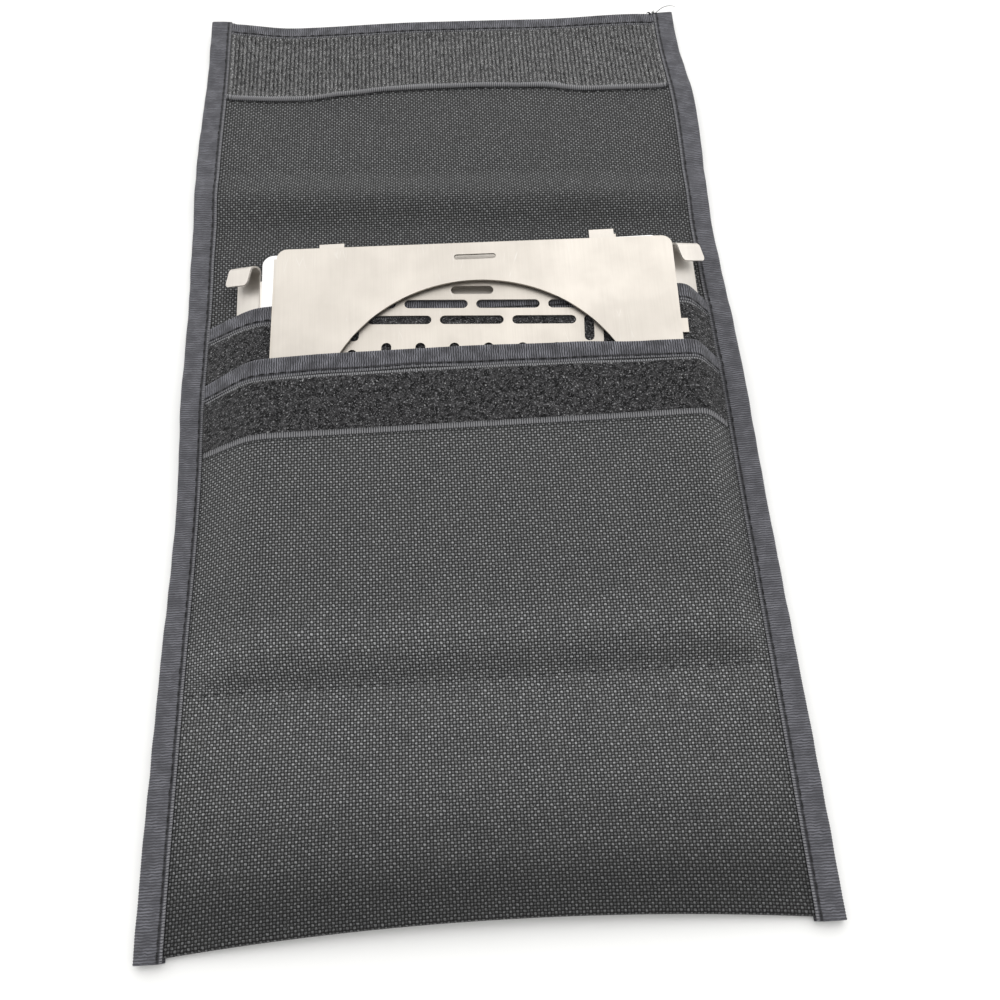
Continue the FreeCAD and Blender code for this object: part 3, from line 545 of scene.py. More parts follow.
def ribbed_tape(name, across_axis, shade, contrast):
    """Grosgrain with a beaded edge, rib tops painted lighter than the painted shade of its grooves, and a
    painted shadow line along its stitching. across_axis is the axis that runs across the tape.
    """
    n = Nodes(name)
    place = n.cloth_place()
    parts = n.split(place)
    along = parts[1 - across_axis]
    across = parts[across_axis]
    uneven = n.times(n.noise(place, 0.6, 2.0), 0.8)
    ribs = n.ridges(n.plus(along, uneven), RIB)
    threads = n.ridges(across, 0.32)
    rib_light_patches = n.noise(place, 0.25, 3.0)
    grain = n.noise(place, 4.0, 2.0)
    # painted light: the rib tops are painted contrast times lighter than the painted shade of the grooves,
    # more in some patches than others
    top = tuple(channel * contrast for channel in shade)
    level = n.times(n.ramp(ribs, 0.4, 1.0), n.ramp(rib_light_patches, 0.3, 0.7, 0.3, 1.0))
    colour = n.mix(level, shade, top)
    colour = n.mix(n.times(n.ramp(grain, 0.62, 0.78), 0.5), colour, (0.24, 0.24, 0.25))
    # painted shadow: a dark line about 1.25 mm round from the tape's edge, along its stitching
    painted_seam_shadow = n.ramp(n.math("ABSOLUTE", n.math("SUBTRACT", across, 1.25)), 0.15, 0.6, 0.3, 1.0)
    colour = n.scaled(colour, painted_seam_shadow)
    bead = n.times(n.ramp(across, 0.45, 0.85, 1.0, 0.0), n.ramp(ribs, 0.3, 0.9))
    colour = n.mix(n.times(bead, 0.7), colour, (0.28, 0.28, 0.29))
    height = n.plus(n.times(ribs, 0.6), n.times(threads, 0.25))
    normal = n.bump(n.plus(height, n.times(grain, 0.3)), 0.6, 0.00012)
    roughness = n.ramp(level, 0.0, 1.0, 0.72, 0.55)
    return n.finish(
        colour, roughness, normal, Specular_IOR_Level=0.25, Sheen_Weight=0.06, Sheen_Roughness=0.5
    )


def brushed_loops():
    """The soft tape: a deep black ground with light loop tops and lint, and ribbed grey selvedges."""
    n = Nodes("brushed_loops")
    place = n.cloth_place()
    x, _, selvedge = n.split(place)
    clumps = n.noise(place, 0.55, 4.0, 0.7)
    tufts = n.noise(place, 1.7, 4.0, 0.75)
    colour = n.mix(n.ramp(clumps, 0.38, 0.64), (0.006, 0.006, 0.0065), (0.055, 0.054, 0.056))
    colour = n.mix(n.ramp(tufts, 0.53, 0.66), colour, (0.32, 0.32, 0.33))
    lint = n.ramp(n.noise(place, 1.5, 0.0), 0.76, 0.82)
    colour = n.mix(n.times(lint, 0.8), colour, (0.5, 0.5, 0.5))
    ribs = n.ridges(x, RIB)
    # painted light: the selvedge's rib tops are painted light grey and its grooves painted shade
    edge = n.mix(n.ramp(ribs, 0.3, 0.95), (0.035, 0.035, 0.038), (0.26, 0.26, 0.27))
    colour = n.mix(n.ramp(selvedge, 0.4, 0.7), colour, edge)
    normal = n.bump(n.plus(tufts, clumps), 1.0, 0.0004)
    return n.finish(colour, 0.8, normal, Specular_IOR_Level=0.15, Sheen_Weight=0.08, Sheen_Roughness=0.4)


def hook_plastic():
    """The hooked tape: black nylon monofilament with a soft gloss and caught lint, painted light along its
    rows of hooks and painted shade between them, and ribbed selvedges.
    """
    n = Nodes("hook_plastic")
    place = n.cloth_place()
    x, _, selvedge = n.split(place)
    caught = n.noise(place, 0.45, 4.0, 0.7)
    fine = n.noise(place, 2.2, 4.0, 0.75)
    colour = n.mix(n.ramp(caught, 0.38, 0.62), (0.014, 0.014, 0.015), (0.095, 0.095, 0.096))
    colour = n.mix(n.times(n.ramp(fine, 0.52, 0.64), 0.85), colour, (0.50, 0.50, 0.50))
    strayed = n.plus(x, n.times(n.noise(place, 0.7, 2.0), 1.1))
    # painted light and shade: lighter along the rows of hooks, darker in the gaps between them
    painted_row_light = n.ridges(strayed, HOOK_ROW)
    colour = n.scaled(colour, n.ramp(painted_row_light, 0.25, 0.95, 0.22, 1.25))
    ribs = n.ridges(x, RIB)
    # painted light: the selvedge's rib tops are painted light grey and its grooves painted shade
    edge = n.mix(n.ramp(ribs, 0.3, 0.95), (0.04, 0.04, 0.043), (0.24, 0.24, 0.25))
    colour = n.mix(n.ramp(selvedge, 0.4, 0.7), colour, edge)
    return n.finish(colour, 0.48, n.bump(fine, 0.6, 0.00015), Specular_IOR_Level=0.3)


def sewing_thread():
    """Twisted black thread."""
    n = Nodes("sewing_thread")
    place = n.cloth_place()
    x, along, _ = n.split(place)
    twist = n.math("SINE", n.times(n.plus(x, along), 14.0))
    colour = n.mix(n.ramp(twist, -0.5, 1.0), (0.010, 0.010, 0.011), (0.045, 0.045, 0.048))
    return n.finish(colour, 0.6, n.bump(twist, 0.6, 0.00008), Specular_IOR_Level=0.3)


def satin_steel(name, shine, warmth):
    """Rolled stainless sheet: satin, with faint lines along the rolling, smudges and fine scratches."""
    n = Nodes(name)
    x, y, z = n.split(n.add("ShaderNodeTexCoord").outputs["Object"])
    lines = n.noise(n.combine(n.times(x, 2600.0), n.times(y, 40.0), z), 1.0, 3.0, 0.6)
    smudge = n.noise(n.combine(x, y, z), 38.0, 4.0, 0.6)
    cell = n.add("ShaderNodeTexVoronoi", feature="DISTANCE_TO_EDGE")
    cell.inputs["Scale"].default_value = 1.0
    n.feed(
        cell.inputs["Vector"],
        n.combine(n.times(x, 210.0), n.times(y, 26.0), n.times(z, 50.0)),
    )
    scratch = n.ramp(cell.outputs["Distance"], 0.0, 0.012, 1.0, 0.0)
    broken = n.ramp(n.noise(n.combine(x, y, z), 90.0, 2.0), 0.56, 0.66)
    scratch = n.times(scratch, broken)
    bright = (shine, shine - warmth * 0.7, shine - warmth * 1.6)
    dull = tuple(channel * 0.93 for channel in bright)
    colour = n.mix(n.ramp(smudge, 0.3, 0.7), bright, dull)
    lined = tuple(channel * 0.8 for channel in bright)
    colour = n.mix(n.times(n.ramp(lines, 0.3, 0.8), 0.22), colour, lined)
    colour = n.mix(n.times(scratch, 0.35), colour, (0.72, 0.71, 0.69))
    gloss = n.plus(n.ramp(smudge, 0.25, 0.75, 0.44, 0.54), n.times(lines, 0.06))
    height = n.math("SUBTRACT", n.times(lines, 0.5), n.times(scratch, 0.6))
    return n.finish(colour, gloss, n.bump(height, 0.12, 0.00004), Metallic=1.0, Anisotropic=0.3)


CLOTH_LOOK = woven_cloth()
SIDE_LOOK = ribbed_tape("side_grosgrain", 0, (0.052, 0.052, 0.059), 3.0)
MOUTH_LOOK = ribbed_tape("mouth_grosgrain", 1, (0.022, 0.022, 0.025), 8.5)
LOOP_LOOK = brushed_loops()
HOOK_LOOK = hook_plastic()
THREAD_LOOK = sewing_thread()


# ---------------------------------------------------------------- the cloth pieces


def cloth_columns(step=1.6):
    """x of the cloth's columns: evenly spaced between the bindings, four more under each binding, and closer
    together where the bindings start.
    """
    outer = HALF - CLOTH_INSET
    inside = np.linspace(-INNER + 0.4, INNER - 0.4, int(2 * INNER / step))
    left = np.linspace(-outer, -INNER, 4)
    return np.concatenate([left, inside, -left[::-1]])


def make_main_cloth():
    """One sheet: down from the front mouth, round the bottom fold, up the back and out as the flap."""
    x = cloth_columns()
    top = FRONT_MOUTH - CLOTH_INSET
    radius = (FRONT_EDGE - BACK_EDGE) / 2
    start = 1.4 + radius
    rows = []
    down_front = [np.linspace(top, 82, 58), np.linspace(80.5, 58, 22), np.linspace(56.5, start, 36)]
    for v in np.concatenate(down_front):
        rows.append(np.stack([x, np.full_like(x, v), front_surface(x, v)], axis=-1))
    upper = front_surface(x, start)
    lower = back_surface(x, start)
    for angle in np.linspace(0, math.pi, 10)[1:-1]:
        v = start - radius * math.sin(angle)
        z = (upper + lower) / 2 + (upper - lower) / 2 * math.cos(angle)
        rows.append(np.stack([x, np.full_like(x, v), z], axis=-1))
    end = flap_end(x, 0.9)
    for share in np.linspace(0, 1, 215):
        v = start + (end - start) * share
        rows.append(np.stack([x, v, back_surface(x, v)], axis=-1))
    middle = np.array(rows)
    steps = np.linalg.norm(np.diff(middle, axis=0), axis=-1)
    along = np.concatenate([np.zeros((1, len(x))), np.cumsum(steps, axis=0)])
    centre = along[:, len(x) // 2]
    place = np.zeros_like(middle)
    place[..., 0] = middle[..., 0]
    place[..., 1] = centre[:, None]
    # the third coordinate carries the painted light along the cloth
    place[..., 2] = through(PAINTED_LIGHT_ALONG, centre)[:, None]
    return cloth_sheet("pouch_cloth", in_frame(middle), place), centre[-1]


def make_divider():
    """The sheet between the two pockets, from the floor stitch to its own mouth."""
    x = cloth_columns()
    low = STITCH_V + 1
    top = DIVIDER_MOUTH - CLOTH_INSET
    v = np.concatenate([np.linspace(low, 84, 12), np.linspace(86, top, 62)])
    grid_x, grid_v = np.meshgrid(x, v)
    middle = np.stack([grid_x, grid_v, divider_surface(grid_x, grid_v)], axis=-1)
    # the divider's third coordinate is its painted light, one level all over
    place = np.stack([grid_x, grid_v + 40, np.full_like(grid_x, 1.1)], axis=-1)
    return cloth_sheet("divider_cloth", in_frame(middle), place), top - low


# ---------------------------------------------------------------- bindings


def arc_outline(width, height, leg, nose):
    """The closed outline of a tape folded over an edge: (in from the fold, up), outer side then inner."""
    outside = [(width - share * (width - nose), height) for share in np.linspace(0, 1, 7)]
    for angle in np.linspace(0, math.pi, 8)[1:-1]:
        outside.append((nose - nose * math.sin(angle), height / 2 + height / 2 * math.cos(angle)))
    outside += [(width - share * (width - nose), 0.0) for share in np.linspace(1, 0, 4)]
    inside = [(width, leg), (width / 2, leg), (nose, leg)]
    inside += [(nose * 0.6, height / 2)]
    inside += [(nose, height - leg), (width / 2, height - leg), (width, height - leg)]
    return outside, inside


def distances_round(section):
    """How far each of an outline's points is along it from the first."""
    steps = np.linalg.norm(np.diff(section, axis=0), axis=-1)
    return np.concatenate([[0], np.cumsum(steps)])


def rib_height(along):
    """The grosgrain's ribs as a height, in millimetres."""
    return 0.09 * np.abs(np.sin(along * math.pi / RIB)) ** 0.8


def side_binding_height(v):
    """How thick the bound edge is: three layers of cloth, then two, then one."""
    tall = node_box("side_binding_left")[1].z
    low = node_box("flap_binding_left")[1].z
    middle = (tall + low) / 2
    first = smooth_step(FRONT_MOUTH - 4, FRONT_MOUTH + 5, v)
    second = smooth_step(DIVIDER_MOUTH - 4, DIVIDER_MOUTH + 5, v)
    return tall + (middle - tall) * first + (low - middle) * second


def make_side_binding(side):
    """The tape that binds a side edge from the bottom fold to the flap's end."""
    sign = -1 if side == "left" else 1
    end = FLAP_LEFT if side == "left" else FLAP_RIGHT
    v = np.arange(0, end, RIB / 4)
    heights = side_binding_height(v)
    puckers = 0.22 * np.sin(v / 3.1 + sign) * np.sin(v / 11.0) + 0.12 * np.sin(v / 1.9 + 2 * sign)
    stations = []
    places = []
    for station, height, pucker in zip(v, heights, puckers):
        outside, inside = arc_outline(TAPE_WIDTH, height, LEG, SIDE_NOSE)
        rib = rib_height(station)
        section = np.array(outside + inside)
        grow = np.zeros_like(section)
        middle = height / 2
        for index, (across, up) in enumerate(outside):
            from_inner = TAPE_WIDTH - across
            bead = 0.14 * math.exp(-((from_inner - 0.35) / 0.3) ** 2)
            groove = -0.14 * math.exp(-((from_inner - 1.5) / 0.35) ** 2)
            if across <= SIDE_NOSE:
                grow[index, 0] = -rib * (SIDE_NOSE - across) / SIDE_NOSE
            if up > middle:
                grow[index, 1] = rib + bead + groove + pucker * smooth_step(0, 3, from_inner)
        section = section + grow
        x = sign * (HALF - section[:, 0])
        stations.append(np.stack([x, np.full(len(section), station), section[:, 1]], axis=-1))
        along = np.full(len(section), station)
        places.append(np.stack([distances_round(section), along, np.zeros(len(section))], axis=-1))
    return swept(f"side_tape_{side}", in_frame(np.array(stations)), np.array(places), SIDE_LOOK)


def folded_tape(name, grid_x, section, stations):
    """A tape that runs across the pouch, from its outline at every x."""
    round_it = np.broadcast_to(distances_round(section), grid_x.shape)
    place = np.stack([grid_x, round_it, np.zeros_like(grid_x)], axis=-1)
    return swept(name, in_frame(stations), place, MOUTH_LOOK)


def make_mouth_binding(name, surface, mouth, half_width):
    """The tape folded over a pocket's mouth."""
    x = np.arange(-half_width, half_width, RIB / 4)
    outside, inside = arc_outline(MOUTH_BINDING, FOLDED_TAPE, LEG, ACROSS_NOSE)
    section = np.array(outside + inside)
    top = section[:, 1] > FOLDED_TAPE / 2
    is_outside = np.arange(len(section)) < len(outside)
    bead = 0.16 * np.exp(-((MOUTH_BINDING - section[:, 0] - 0.3) / 0.3) ** 2)
    grid_x = np.repeat(x[:, None], len(section), axis=1)
    ribs = rib_height(grid_x) * is_outside
    wave = 0.25 * np.sin(x / 13.0) + 0.18 * np.sin(x / 5.3 + 1)
    down = section[None, :, 0] + wave[:, None] * (section[None, :, 0] / MOUTH_BINDING)
    up = section[None, :, 1] - FOLDED_TAPE / 2 + np.where(top, ribs + bead * is_outside, -ribs)
    stations = over(surface, grid_x, mouth - down, up)
    return folded_tape(name, grid_x, section, stations)


def make_flap_end_binding():
    """The tape folded over the flap's end."""
    half_width = INNER + 0.5
    x = np.arange(-half_width, half_width, RIB / 4)
    outside, inside = arc_outline(END_TAPE, FOLDED_TAPE, LEG, ACROSS_NOSE)
    section = np.array(outside + inside)
    is_outside = np.arange(len(section)) < len(outside)
    grid_x = np.repeat(x[:, None], len(section), axis=1)
    ribs = rib_height(grid_x) * is_outside
    v = flap_end(grid_x, 0) - section[None, :, 0]
    up = section[None, :, 1]
    z = up - FOLDED_TAPE / 2 + np.where(up > FOLDED_TAPE / 2, ribs, 0)
    stations = np.stack([grid_x, v, back_surface(grid_x, v) + z], axis=-1)
    return folded_tape("flap_end_tape", grid_x, section, stations)


# ---------------------------------------------------------------- the closure's tapes


def slab_over(surface, x, v, low, high, selvedge):
    """A closed slab over a surface. high and selvedge, the share that is plain woven edge, are grids too."""
    points, faces = solid_between(over(surface, x, v, high), over(surface, x, v, low))
    places = np.concatenate([np.stack([x, v, selvedge], axis=-1).reshape(-1, 3)] * 2)
    return points, faces, places


def tape_with_pile(name, ground, pile, material):
    """One piece from a tape's ground, as slab_over gives it, and the small tubes that stand on it."""
    points, faces, places = ground
    pile_points, pile_faces = pile
    all_points, all_faces = merged([(points, faces), (pile_points, pile_faces)])
    all_places = np.concatenate([places, pile_points * (1, 1, 0)])
    return new_piece(name, in_frame(all_points), all_faces, all_places, material)


def loop_ground(rng, surface, half_width, bottom, top):
    """A soft tape's ground: rough where its pile stands and ribbed at its woven selvedges."""
    low = CLOTH / 2 + 0.06
    pile_start = bottom + SELVEDGE
    x = np.arange(-half_width, half_width, 0.45)
    v = np.concatenate([np.linspace(bottom, pile_start, 6), np.linspace(pile_start + 0.3, top, 44)])
    grid_x, grid_v = np.meshgrid(x, v)
    from_edge = np.minimum(grid_v - bottom, (top - grid_v) * 2.2)
    pile = smooth_step(SELVEDGE - 0.3, SELVEDGE + 0.5, from_edge)
    rough = rng.random(grid_x.shape)
    ribs = rib_height(grid_x) * (1 - pile)
    height = low + 0.34 + ribs + pile * (0.3 + 0.3 * rough)
    return slab_over(surface, grid_x, grid_v, low, height, 1 - pile)


def loop_pile(rng, surface, half_width, bottom, top, count):
    """Small loops of yarn, scattered over a soft tape and leaning every way."""
    base_x = rng.uniform(-half_width + 0.5, half_width - 0.5, count)
    base_v = rng.uniform(bottom + SELVEDGE, top - SELVEDGE * 0.6, count)
    turn = rng.uniform(0, math.pi, count)
    spread = rng.uniform(0.5, 1.2, count)
    tall = rng.uniform(0.35, 0.8, count)
    share = np.linspace(0, 1, 6)
    path_x = base_x[:, None] + np.cos(turn)[:, None] * spread[:, None] * (share - 0.5)
    path_v = base_v[:, None] + np.sin(turn)[:, None] * spread[:, None] * (share - 0.5)
    lean = rng.uniform(-0.3, 0.3, count)[:, None] * np.sin(math.pi * share)
    path_h = CLOTH / 2 + 0.55 + tall[:, None] * np.sin(math.pi * share)
    paths = over(surface, path_x + lean, path_v, path_h)
    return tubes(paths, np.full(len(share), LOOP_RADIUS), 3)


def make_loop_tape(name, surface, mouth, loops, seed):
    """The soft tape below a pocket's mouth."""
    rng = np.random.default_rng(seed)
    half_width = node_box(name)[1].x
    top = mouth - MOUTH_BINDING - 0.2
    bottom = top - LOOP_TAPE
    ground = loop_ground(rng, surface, half_width, bottom, top)
    pile = loop_pile(rng, surface, half_width, bottom, top, loops)
    return tape_with_pile(f"{name}_pile", ground, pile, LOOP_LOOK)


def hook_tape_depth():
    """How far the hook tape's lower edge is from the flap's end."""
    low, high = node_box("hook_tape")
    return flap_end(high.x, 0) - low.y


def hook_edge_rise(x):
    """How much nearer to the flap's end the hook tape's lower edge is than a straight edge would be."""
    return through(HOOK_EDGE_RISE, x)


def hook_ground(rng, half_width, inset, full_depth):
    """The hooked tape's ground: a rib under each row of hooks and a raised, ribbed lower selvedge."""
    x = np.arange(-half_width, half_width, HOOK_ROW / 5)
    share = np.linspace(0, 1, 64)
    grid_x, grid_s = np.meshgrid(x, share)
    depth = full_depth - hook_edge_rise(grid_x)
    grid_v = flap_end(grid_x, inset + depth * (1 - grid_s))
    from_low = grid_s * depth
    edge_wave = 0.25 * np.sin(grid_x / 9.0) + 0.2 * np.sin(grid_x / 4.1 + 1)
    woven_edge = 1 - smooth_step(1.9, 2.5, from_low + edge_wave)
    beyond_edge = smooth_step(2.0, 3.0, from_low)
    piping = 0.75 * np.exp(-((from_low - 0.9) / 0.75) ** 2)
    rows = 0.22 * np.abs(np.sin(grid_x * math.pi / HOOK_ROW)) * beyond_edge
    ribs = rib_height(grid_x) * (1 - beyond_edge)
    height = CLOTH / 2 + 0.4 + piping + rows + ribs + 0.05 * rng.random(grid_x.shape)
    return slab_over(back_surface, grid_x, grid_v, CLOTH / 2 + 0.05, height, woven_edge)


def hook_pile(rng, half_width, inset, full_depth):
    """Small hooks in rows, a little out of line, some of them missing."""
    half_rows = int((half_width - 0.6) / HOOK_ROW)
    hook_x, hook_s = np.meshgrid(
        (np.arange(-half_rows, half_rows) + 0.5) * HOOK_ROW,
        np.arange(0.8, full_depth - HOOK_CLEAR, HOOK_PITCH),
    )
    hook_x = hook_x.ravel() + rng.normal(0, 0.19, hook_x.size)
    hook_s = hook_s.ravel() + rng.normal(0, 0.22, hook_s.size)
    on_tape = hook_s < full_depth - HOOK_CLEAR - hook_edge_rise(hook_x)
    kept = on_tape & (rng.random(hook_x.size) < HOOKS_KEPT)
    hook_x = hook_x[kept]
    hook_s = hook_s[kept]
    hook_v = flap_end(hook_x, inset + hook_s)
    facing = rng.choice([-1.0, 1.0], hook_x.size)
    angles = np.linspace(-0.3, 1.25, 7) * math.pi
    tall = rng.uniform(0.75, 1.15, hook_x.size)[:, None]
    path_x = hook_x[:, None] + rng.normal(0, 0.08, (hook_x.size, len(angles)))
    path_v = hook_v[:, None] + facing[:, None] * 0.36 * (1 - np.cos(angles))
    path_h = CLOTH / 2 + 0.75 + tall * 0.55 * (np.sin(angles) + 0.4)
    paths = over(back_surface, path_x, path_v, path_h)
    return tubes(paths, np.full(len(angles), HOOK_RADIUS), 4)


def make_hook_tape():
    """The hooked tape on the flap."""
    rng = np.random.default_rng(7)
    inset = END_TAPE + 0.2
    full_depth = hook_tape_depth() - inset
    half_width = INNER - 0.15
    ground = hook_ground(rng, half_width, inset, full_depth)
    pile = hook_pile(rng, half_width, inset, full_depth)
    return tape_with_pile("hook_tape_rows", ground, pile, HOOK_LOOK)


# ---------------------------------------------------------------- stitches


def stitch_row(name, path, length, pitch, seed, radius=THREAD_RADIUS, stitch=2.3):
    """A row of stitches along path, a function from a distance to a point just above the cloth."""
    rng = np.random.default_rng(seed)
    count = int(length // pitch)
    starts = (np.arange(count) + 0.5) * length / count
    starts = starts - stitch / 2 + rng.normal(0, 0.08, count)
    share = np.linspace(0, 1, 6)
    distance = starts[:, None] + share * stitch
    sink = 0.30 - 0.42 * np.sin(math.pi * share) ** 0.6
    paths = path(distance, rng.normal(0, 0.07, (count, 1)))
    paths[..., 2] -= sink
    radii = radius * np.array([0.6, 0.95, 1.0, 1.0, 0.95, 0.6])
    points, faces = tubes(paths, radii, 6)
    return new_piece(name, in_frame(points), faces, points, THREAD_LOOK)


def side_stitch_path(side):
    """A row along a side tape, just outside its inner edge."""
    sign = -1 if side == "left" else 1

    def path(distance, jitter):
        x = np.full_like(distance, sign * (INNER + 1.5)) + jitter
        z = side_binding_height(distance) + 0.02
        return np.stack([x, distance, z], axis=-1)

    return path


def across_path(surface, line_v, half_width, height, slope=0.0, rise=np.zeros_like):
    """A row across the pouch at line_v, on a surface. rise gives its further height at each x."""

    def path(distance, jitter):
        x = distance - half_width
        v = line_v + slope * (x + HALF) + rise(x) + jitter
        return over(surface, x, v, height)

    return path


def make_frayed_threads():
    """The loose ends of thread where the right side tape ends: one long and eight short ones."""
    rng = np.random.default_rng(41)
    share = np.linspace(0, 1, 9)
    groups = []
    corner = (INNER - 0.5, FLAP_RIGHT - 0.6, 1.2)
    for number in range(9):
        reach = 9.5 if number == 0 else rng.uniform(0.9, 2.2)
        heading = 0.55 if number == 0 else rng.uniform(1.2, 2.6)
        bend = 0.5 * reach * share ** 2 * (-0.35 if number == 0 else rng.uniform(-0.6, 0.6))
        x = corner[0] + rng.uniform(-1.6, 1.2) + np.cos(heading) * reach * share - np.sin(heading) * bend
        v = corner[1] + np.sin(heading) * reach * share + np.cos(heading) * bend
        z = corner[2] + (0.3 + 0.12 * reach) * np.sin(math.pi * share) + 0.1
        radii = np.full(len(share), 0.13) * (1.15 - 0.5 * share)
        groups.append(tubes(np.stack([x, v, z], axis=-1)[None], radii, 5))
    points, faces = merged(groups)
    return new_piece("frayed_threads", in_frame(points), faces, points, THREAD_LOOK)


# ---------------------------------------------------------------- make the soft pieces

main_cloth, main_length = make_main_cloth()
divider_cloth, divider_length = make_divider()
reach = INNER - 0.4
side_tapes = [make_side_binding(side) for side in ("left", "right")]
front_binding = make_mouth_binding("front_mouth_tape", front_surface, FRONT_MOUTH, reach)
divider_binding = make_mouth_binding("divider_mouth_tape", divider_surface, DIVIDER_MOUTH, reach)
end_binding = make_flap_end_binding()
front_loops = make_loop_tape("front_loop_tape", front_surface, FRONT_MOUTH, 6500, 3)
divider_loops = make_loop_tape("divider_loop_tape", divider_surface, DIVIDER_MOUTH, 4500, 4)
hook_rows = make_hook_tape()
frayed_threads = make_frayed_threads()

MOUTH_THREAD = 0.16
MOUTH_ROW_HEIGHT = CLOTH / 2 + LEG + 0.2
ROWS_ACROSS = (
    ("floor_stitches", across_path(front_surface, STITCH_V, reach, CLOTH / 2 + 0.05), 3.7, 11, THREAD_RADIUS),
    (
        "front_mouth_stitches",
        across_path(front_surface, FRONT_MOUTH - MOUTH_BINDING + STITCH_INSET, reach, MOUTH_ROW_HEIGHT),
        3.3, 12, MOUTH_THREAD,
    ),
    (
        "divider_mouth_stitches",
        across_path(divider_surface, DIVIDER_MOUTH - MOUTH_BINDING + STITCH_INSET, reach, MOUTH_ROW_HEIGHT),
        3.3, 13, MOUTH_THREAD,
    ),
    (
        "hook_tape_stitches_0",
        across_path(
            back_surface, FLAP_LEFT - (END_TAPE - STITCH_INSET), reach, CLOTH / 2 + (LEG + 0.25), FLAP_SLOPE
        ),
        3.3, 20, THREAD_RADIUS,
    ),
    (
        "hook_tape_stitches_1",
        across_path(
            back_surface, FLAP_LEFT - (hook_tape_depth() + 0.6), reach, CLOTH / 2 + 0.12, FLAP_SLOPE,
            hook_edge_rise,
        ),
        3.3, 21, THREAD_RADIUS,
    ),
)
rows = {
    name: stitch_row(name, path, 2 * reach, pitch, seed, radius)
    for name, path, pitch, seed, radius in ROWS_ACROSS
}
side_rows = {
    side: stitch_row(
        f"side_stitches_{side}", side_stitch_path(side), end - 1.5, 3.4, 30 + seed
    )
    for seed, (side, end) in enumerate((("left", FLAP_LEFT), ("right", FLAP_RIGHT)))
}

# ---------------------------------------------------------------- what moves with what

for piece, nodes, slot in (
    (main_cloth, ("back_panel", "front_panel", "flap_panel"), "pouch_cloth"),
    (side_tapes[0], ("side_binding_left", "flap_binding_left"), "binding_tape"),
    (side_tapes[1], ("side_binding_right", "flap_binding_right"), "binding_tape"),
    (side_rows["left"], ("side_stitching_left", "flap_stitching_left"), "thread"),
    (side_rows["right"], ("side_stitching_right", "flap_stitching_right"), "thread"),
):
    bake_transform(piece)
    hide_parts(*nodes)

for piece, node, slot, body in (
    (divider_cloth, "divider_panel", "pouch_cloth", "pouch"),
    (front_binding, "front_mouth_binding", "binding_tape", "pouch"),
    (divider_binding, "divider_mouth_binding", "binding_tape", "pouch"),
    (front_loops, "front_loop_tape", "loop_tape", "pouch"),
    (divider_loops, "divider_loop_tape", "loop_tape", "pouch"),
    (rows["floor_stitches"], "pocket_floor_stitching", "thread", "pouch"),
    (rows["front_mouth_stitches"], None, "thread", "pouch"),
    (rows["divider_mouth_stitches"], None, "thread", "pouch"),
    (end_binding, "flap_end_binding", "binding_tape", "flap"),
    (hook_rows, "hook_tape", "hook_tape", "flap"),
    (rows["hook_tape_stitches_0"], "hook_tape_stitching", "thread", "flap"),
    (rows["hook_tape_stitches_1"], None, "thread", "flap"),
    (frayed_threads, None, "thread", "flap"),
):
    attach(piece, body)
    if node:
        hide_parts(node)

# ---------------------------------------------------------------- the plates

# How bright each plate is and how much warmer than grey: the plates' tone differs a little from sheet to
# sheet, and the base plate's and the hook wall's extra brightness is painted light, standing in for how
# brightly they are lit
PLATE_TONE_AND_PAINTED_LIGHT = {
    "ring_top_plate": (0.59, 0.055),
    "front_wall": (0.59, 0.060),
    "fire_grate": (0.56, 0.055),
    "side_wall_left": (0.60, 0.050),
    "side_wall_right": (0.60, 0.060),
    "base_plate": (0.84, 0.004),
    "hook_wall": (0.74, 0.055),
}
for node, (shine, warmth) in PLATE_TONE_AND_PAINTED_LIGHT.items():
    plate = frame["nodes"][node]
    plate.data.materials.clear()
    plate.data.materials.append(satin_steel(f"satin_steel_{node}", shine, warmth))


# ---------------------------------------------------------------- floor, light and camera


def plain(name, colour, roughness):
    """A material of one colour."""
    n = Nodes(name)
    n.shader.inputs["Base Color"].default_value = (*colour, 1)
    n.shader.inputs["Roughness"].default_value = roughness
    return n.material


def make_floor():
    """A white floor, a hair below the pouch so that the two don't share a plane."""
    mesh = bpy.data.meshes.new("floor")
    half = 4.0
    level = -0.0002
    corners = [(-half, -half, level), (half, -half, level), (half, half, level), (-half, half, level)]
    mesh.from_pydata(corners, [], [(0, 1, 2, 3)])
    floor = bpy.data.objects.new("floor", mesh)
    bpy.context.scene.collection.objects.link(floor)
    mesh.materials.append(plain("floor_white", (0.93, 0.93, 0.92), 0.6))


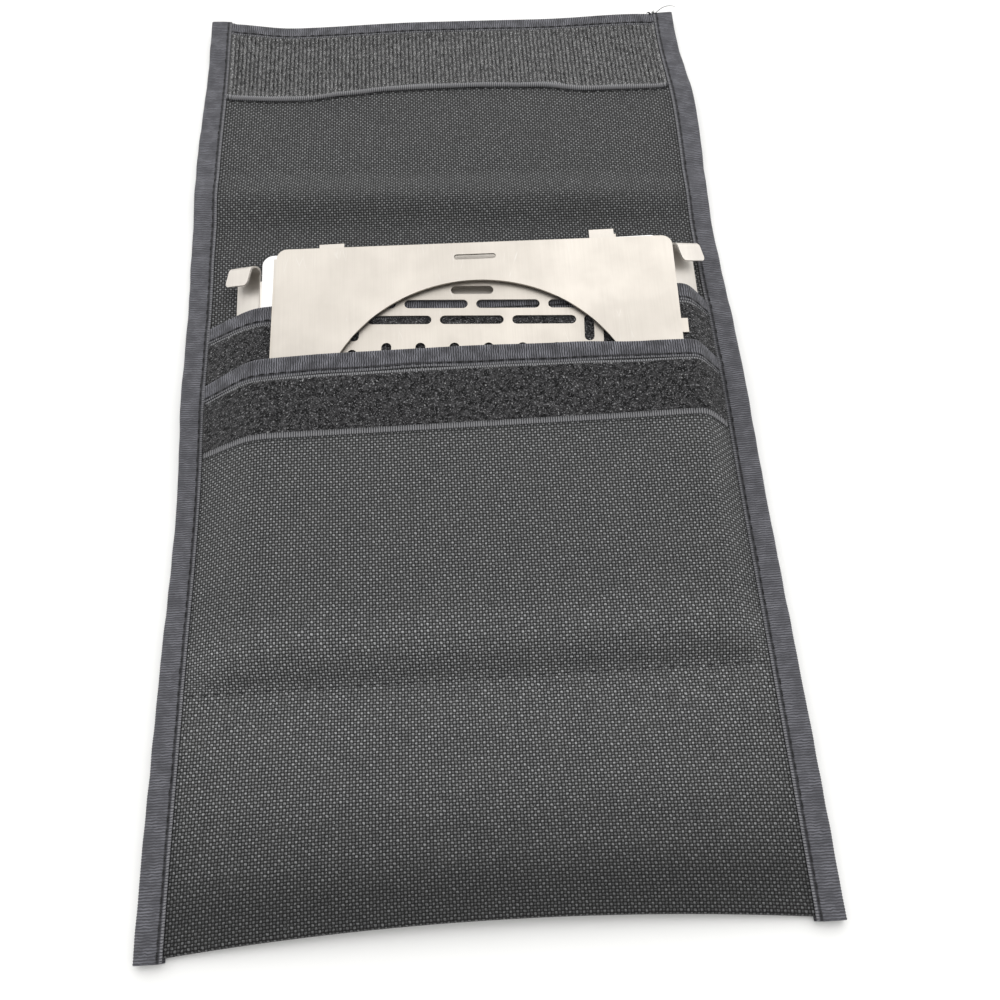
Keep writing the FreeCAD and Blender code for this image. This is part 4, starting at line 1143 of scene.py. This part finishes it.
def area_light(name, place, aim, size, power):
    """A rectangular lamp at place that points at aim."""
    light = bpy.data.lights.new(name, "AREA")
    light.shape = "RECTANGLE"
    light.size, light.size_y = size
    light.energy = power
    lamp = bpy.data.objects.new(name, light)
    bpy.context.scene.collection.objects.link(lamp)
    lamp.location = place
    lamp.rotation_mode = "QUATERNION"
    lamp.rotation_quaternion = (Vector(aim) - Vector(place)).to_track_quat("-Z", "Y")


def make_lights():
    """A plain white room, brighter beyond the flap than behind the pockets, and one soft lamp."""
    world = bpy.data.worlds.new("studio")
    bpy.context.scene.world = world
    world.use_nodes = True
    tree = world.node_tree
    place = tree.nodes.new("ShaderNodeTexCoord")
    split = tree.nodes.new("ShaderNodeSeparateXYZ")
    ahead = tree.nodes.new("ShaderNodeMapRange")
    ahead.interpolation_type = "SMOOTHSTEP"
    for name, value in (("From Min", -0.05), ("From Max", 0.62), ("To Min", 0.75), ("To Max", 1.75)):
        ahead.inputs[name].default_value = value
    tree.links.new(place.outputs["Generated"], split.inputs[0])
    tree.links.new(split.outputs["Y"], ahead.inputs["Value"])
    background = tree.nodes["Background"]
    background.inputs["Color"].default_value = (1.0, 0.997, 0.99, 1)
    tree.links.new(ahead.outputs["Result"], background.inputs["Strength"])
    area_light("lamp", (0.35, 0.3, 1.6), (0, 0.02, 0), (1.0, 1.0), 5)


def make_camera():
    """A 36 mm lens on a 36 mm sensor, held above the pouch's bottom end and turned a little."""
    data = bpy.data.cameras.new("camera")
    data.sensor_width = 36
    data.lens = 36
    camera = bpy.data.objects.new("camera", data)
    bpy.context.scene.collection.objects.link(camera)
    yaw, down, roll = (math.radians(angle) for angle in (1.75, 64.967, -1.792))
    forward = Vector((math.sin(yaw) * math.cos(down), math.cos(yaw) * math.cos(down), -math.sin(down)))
    level = Vector((math.cos(yaw), -math.sin(yaw), 0))
    upright = level.cross(forward)
    right = level * math.cos(roll) + upright * math.sin(roll)
    up = upright * math.cos(roll) - level * math.sin(roll)
    turn = Matrix((right, up, -forward)).transposed()
    camera.rotation_mode = "QUATERNION"
    camera.rotation_quaternion = turn.to_quaternion()
    camera.location = (0.00598, BOTTOM - 0.00592, 0.28499)
    data.clip_start = 0.01
    data.clip_end = 20
    bpy.context.scene.camera = camera


make_floor()
make_lights()
make_camera()
bpy.context.scene.view_settings.view_transform = "Standard"
